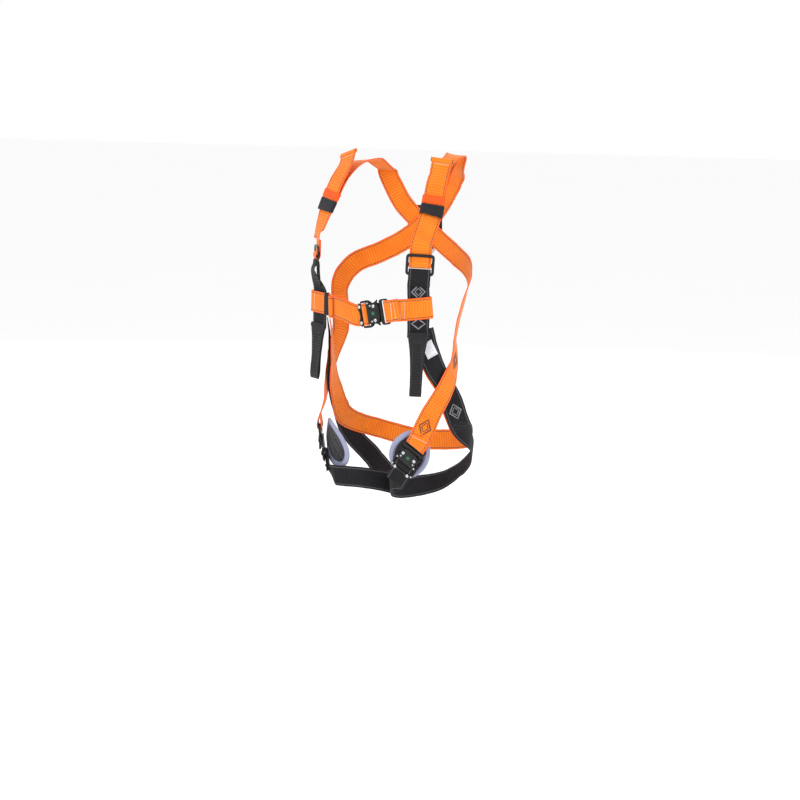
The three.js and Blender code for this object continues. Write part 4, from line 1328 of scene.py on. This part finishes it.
def dorsal():
    back = settle_spot((0, 100, -150), 11)[1]
    place = frame_at((0, back, -150), (0, 0.02, -1), (0, 1, 0))
    outline = mirrored([(-46, 0), (-46, 26), (-34, 40), (30, 40), (44, 24), (44, 0)])
    base = plate("dorsal_base", rounded(outline, 10, 6), 0, 4, place, bevel=1.2)
    window = [rounded(box(a, b, 24), 3)[::-1] for a, b in ((-36, -28), (26, 34))]
    inner = rounded([(x * 0.9, y * 0.9) for x, y in outline], 9, 6)
    rim = plate("dorsal_rim", inner, 3.6, 1.3, place, window, 0.5)
    upright = Matrix.Rotation(math.pi / 2, 4, "X")
    hole = round_hole(0, RING_AXIS, 5.2, 28)
    shape = rounded([(-7, 3.2), (7, 3.2), (7, 11), (5, 14.5), (-5, 14.5), (-7, 11)], 2.5)
    lugs = [
        plate(f"dorsal_lug_{y}", shape, -4.5, 9, place, [hole], 0.8,
              Matrix.Translation((0, y * MM, 0)) @ upright)
        for y in (-10, 10)
    ]
    finish(join("dorsal_body", [base, rim, *lugs]), PLASTIC, stands_for=["dorsal_plate"])
    half, depth = 26, 58
    bends = [(2.5, half - 2.3), (9, half), (depth * 0.55, half - 1), (depth * 0.86, half * 0.62),
             (depth, 0)]
    path = [(0, y) for y in (7 - half, -8, 8, half - 7)]
    path += bends + [(x, -y) for x, y in bends[-2::-1]]
    spots = np.array([(x, y, RING_AXIS) for x, y in path], float)
    count = len(spots)
    centre = np.concatenate([
        spline(np.array([spots[(i + k) % count] for k in (-1, 0, 1, 2)]), 1, np.arange(12) / 12)
        for i in range(count)
    ])
    up = np.array([0, 0, 1.0])
    side = unit(np.cross(loop_tangent(centre), up))
    rings = [p + RING_RADIUS * tube(24, s, up) for p, s in zip(centre, side)]
    vertices, faces = loft(rings, closed=True)
    ring = new_object("dorsal_d_ring", to_world(place, vertices), faces)
    finish(ring, BRIGHT, "dorsal_ring", ["dorsal_ring"])


# --- leg pads
PAD_LENGTH, PAD_WIDTH = 108, 80
PAD_LOW, PAD_HIGH = 1.6, 5.4  # its two faces, above the wearer
PAD_PLUMPING = 3.2            # the furthest that the cloth may move
CLOTH_STEPS = 20
QUILT_DEPTH = 1.3
QUILT_LINES = (-18, 0, 18)    # how far across the pad each sewn channel is


def oval(place, reach, count=72):
    angles = circle(count)
    flat = np.column_stack([
        np.cos(angles) * reach * PAD_LENGTH / 2, np.sin(angles) * reach * PAD_WIDTH / 2,
        np.zeros(count),
    ])
    return to_world(place, flat)


def pad_points(mesh, place):
    """A pad's points, the same in its own frame, and how far out each is: 1 at the rim."""
    rest = np.array([v.co for v in mesh.vertices])
    local = (rest / MM - place[:, 3]) @ place[:, :3]
    return rest, local, np.hypot(local[:, 0] / (PAD_LENGTH / 2), local[:, 1] / (PAD_WIDTH / 2))


def move_points(mesh, points):
    mesh.vertices.foreach_set("co", points.ravel())
    mesh.update()


def crowned(obj, place, most):
    """Pressure plumps the pad; its rim is held, and no point moves further than most."""
    mesh = obj.data
    rest, _, away = pad_points(mesh, place)
    group = obj.vertex_groups.new(name="rim")
    for index, share in enumerate(np.clip((away - 0.84) / 0.1, 0, 1)):
        group.add([index], float(share), "REPLACE")
    cloth = obj.modifiers.new("Cloth", "CLOTH")
    cloth.settings.vertex_group_mass = "rim"
    cloth.settings.quality = 5
    cloth.settings.mass = 0.2
    cloth.settings.tension_stiffness = 18
    cloth.settings.bending_stiffness = 0.4
    cloth.settings.use_pressure = True
    cloth.settings.uniform_pressure_force = 4
    cloth.settings.effector_weights.gravity = 0
    cloth.point_cache.frame_start = 1
    cloth.point_cache.frame_end = CLOTH_STEPS
    scene = bpy.context.scene
    for step in range(1, CLOTH_STEPS + 1):
        scene.frame_set(step)
    plumped = obj.evaluated_get(bpy.context.evaluated_depsgraph_get())
    moved = np.array([v.co for v in plumped.to_mesh().vertices]) - rest
    far = np.linalg.norm(moved, axis=1, keepdims=True)
    moved *= np.minimum(1, most * MM / np.maximum(far, 1e-9))
    plumped.to_mesh_clear()
    obj.modifiers.remove(cloth)
    scene.frame_set(1)
    move_points(mesh, rest + moved)


def leg_pad(side, centre, heading):
    place = frame_on(centre, 1, heading)
    reaches = np.linspace(0.04, 0.95, 14)
    under = [settle(oval(place, r), PAD_LOW) for r in reaches]
    middle = (PAD_LOW + PAD_HIGH) / 2
    rim = [settle(oval(place, 0.985), middle)]
    over = [settle(oval(place, r), PAD_HIGH) for r in reaches[::-1]]
    vertices, faces = loft(under + rim + over)
    pad = new_object(f"pad_{side}", vertices, faces)
    remesh = pad.modifiers.new("Remesh", "REMESH")
    remesh.mode = "VOXEL"
    remesh.voxel_size = 2.2 * MM
    graph = bpy.context.evaluated_depsgraph_get()
    pad.data = bpy.data.meshes.new_from_object(pad.evaluated_get(graph))
    pad.modifiers.clear()
    crowned(pad, place, PAD_PLUMPING)
    quilt(pad, place)
    shade_smooth(pad.data)
    smooth = pad.modifiers.new("Smooth", "SUBSURF")
    smooth.levels = smooth.render_levels = 1
    finish(pad, PAD_FACE, stands_for=[f"leg_pad_{side}"])
    pad.data.materials.append(PAD_LINING)
    up = outward(place[None, :, 3])[0]
    for polygon in pad.data.polygons:
        if np.array(polygon.normal) @ up < -0.1:
            polygon.material_index = 1
    binding(side, place, middle)


def quilt(pad, place):
    """Sewn channels along the pad, pressed into its outer face."""
    rest, local, away = pad_points(pad.data, place)
    up = outward(rest / MM)
    above = height_above_form(rest / MM)
    outer = np.clip((above - 3.5) / 1.0, 0, 1) * np.clip((0.86 - away) / 0.08, 0, 1)
    depth = np.zeros(len(rest))
    for line in QUILT_LINES:
        depth += np.exp(-((local[:, 1] - line) / 1.6) ** 2)
    ring = np.exp(-((away - 0.8) / 0.035) ** 2)
    move_points(pad.data, rest - up * ((depth + ring) * outer * QUILT_DEPTH * MM)[:, None])


PIPING = 0.75                # radius of the cord along the inner edge of the binding


def binding(side, place, middle):
    """Folded tape and piping round the rim of a pad."""
    centre = settle(oval(place, 0.99, 120), middle)
    up = outward(centre)
    out = unit(np.cross(loop_tangent(centre), up))
    out = np.where(np.sum(out * (centre - place[:, 3]), axis=1)[:, None] < 0, -out, out)
    angles = circle(20)
    wide, tall = 6.2, 3.6
    x = -wide * 0.5 + wide * squared(np.cos(angles), 0.8)
    y = tall * squared(np.sin(angles), 0.8)
    rings = [p + o * x[:, None] + u * y[:, None] for p, o, u in zip(centre, out, up)]
    vertices, faces = loft(rings, closed=True)
    around = np.linspace(-8, 8, len(angles))
    uv = np.column_stack([np.tile(around, len(centre)),
                          np.repeat(distance_along(centre), len(angles))])
    finish(new_object(f"pad_binding_{side}", vertices, faces, uv), PAD_RIM)
    rings = [p - o * wide * 1.12 + u * tall * 0.86 + PIPING * tube(20, o, u)
             for p, o, u in zip(centre, out, up)]
    vertices, faces = loft(rings, closed=True)
    finish(new_object(f"pad_piping_{side}", vertices, faces, uv), PAD_RIM_SHADE)


# --- label
def label():
    place = frame_on((116, -80, -382), 9.2, (0.35, 0.3, -0.9))
    strap = follow(pins(place, ((-17, 0), (17, 0))))
    piece = strip("label_cloth", strap, 24, 0.9, rib=0.0, waver=0.0)
    finish(piece, LABEL, stands_for=["label"])
    face = 0.62
    rows = lines(10, 2.5) + lines(-10, 31.5)
    finish(stitching("label_stitching", strap, rows, face, 0.3), BLACK_THREAD)
    widths = (8, 6.5, 8, 5, 7.5, 4)
    rows = [[(-8.5, 7 + 3.6 * k), (-8.5 + 2 * w, 7 + 3.6 * k)] for k, w in enumerate(widths)]
    finish(stitching("label_marks", strap, rows, face, 0.26), PRINT)


main_straps()
rescue_loops()
front_straps()
chest_strap()
hip_and_leg_straps()
front_loops()
orange_marks()
buckle("chest", chest_frame)
buckle("left_leg", left_leg_frame)
buckle("right_leg", right_leg_frame)
slide("left", left_slide_frame)
slide("right", right_slide_frame)
dorsal()
leg_pad("left", (84, -100, -604), (0.4, -0.1, 0.9))
leg_pad("right", (-107, -81, -601), (-0.5, 0.3, 0.75))
label()


# --- floor, light and camera
FLOOR_HALF, FLOOR_Z = 30.0, -0.98
FLOOR_COLOUR = (0.965, 0.965, 0.968)


def floor():
    surface = Surface("floor", 0.8, specular=0.2)
    shade = tuple(c * 0.985 for c in FLOOR_COLOUR)
    surface.colour(surface.mix(surface.noise(900), FLOOR_COLOUR, shade))
    mesh = bpy.data.meshes.new("floor")
    corners = [(x * FLOOR_HALF, y * FLOOR_HALF, FLOOR_Z)
               for x, y in ((-1, -1), (1, -1), (1, 1), (-1, 1))]
    mesh.from_pydata(corners, [], [(0, 1, 2, 3)])
    mesh.materials.append(surface.material)
    add_object("floor", mesh)


def area_light(name, place, target, size, watts):
    data = bpy.data.lights.new(name, "AREA")
    data.shape = "DISK"
    data.size = size
    data.energy = watts
    light = add_object(name, data)
    light.location = place
    aim = Vector(target) - Vector(place)
    light.rotation_euler = aim.to_track_quat("-Z", "Y").to_euler()


def studio():
    world = bpy.data.worlds.new("studio")
    world.use_nodes = True
    background = world.node_tree.nodes["Background"]
    background.inputs["Color"].default_value = (1.0, 1.0, 1.0, 1)
    background.inputs["Strength"].default_value = 1.0
    bpy.context.scene.world = world
    middle = (0, 0, -0.35)
    area_light("key", (-0.2, -2.9, 1.3), middle, 1.4, 33)
    area_light("side", (3.0, -0.8, 0.8), middle, 1.6, 20)
    area_light("back", (-1.2, 2.8, 1.2), middle, 1.6, 26)
    view_settings = bpy.context.scene.view_settings
    view_settings.view_transform = "Standard"
    view_settings.look = "None"


CAMERA_AZIMUTH = math.radians(30)
CAMERA_PITCH = math.radians(10)
CAMERA_ROLL = math.radians(0.6)
CAMERA_PLACE = (1.7945, -3.1018, 0.1207)
LENS = 76.8


def camera():
    data = bpy.data.cameras.new("camera")
    data.lens = LENS
    data.sensor_width = 36
    data.clip_end = 60
    obj = add_object("camera", data)
    turn = Matrix.Rotation(CAMERA_AZIMUTH, 4, "Z")
    tilt = Matrix.Rotation(math.pi / 2 - CAMERA_PITCH, 4, "X")
    roll = Matrix.Rotation(CAMERA_ROLL, 4, "Z")
    obj.matrix_world = Matrix.Translation(CAMERA_PLACE) @ turn @ tilt @ roll
    bpy.context.scene.camera = obj


floor()
studio()
camera()
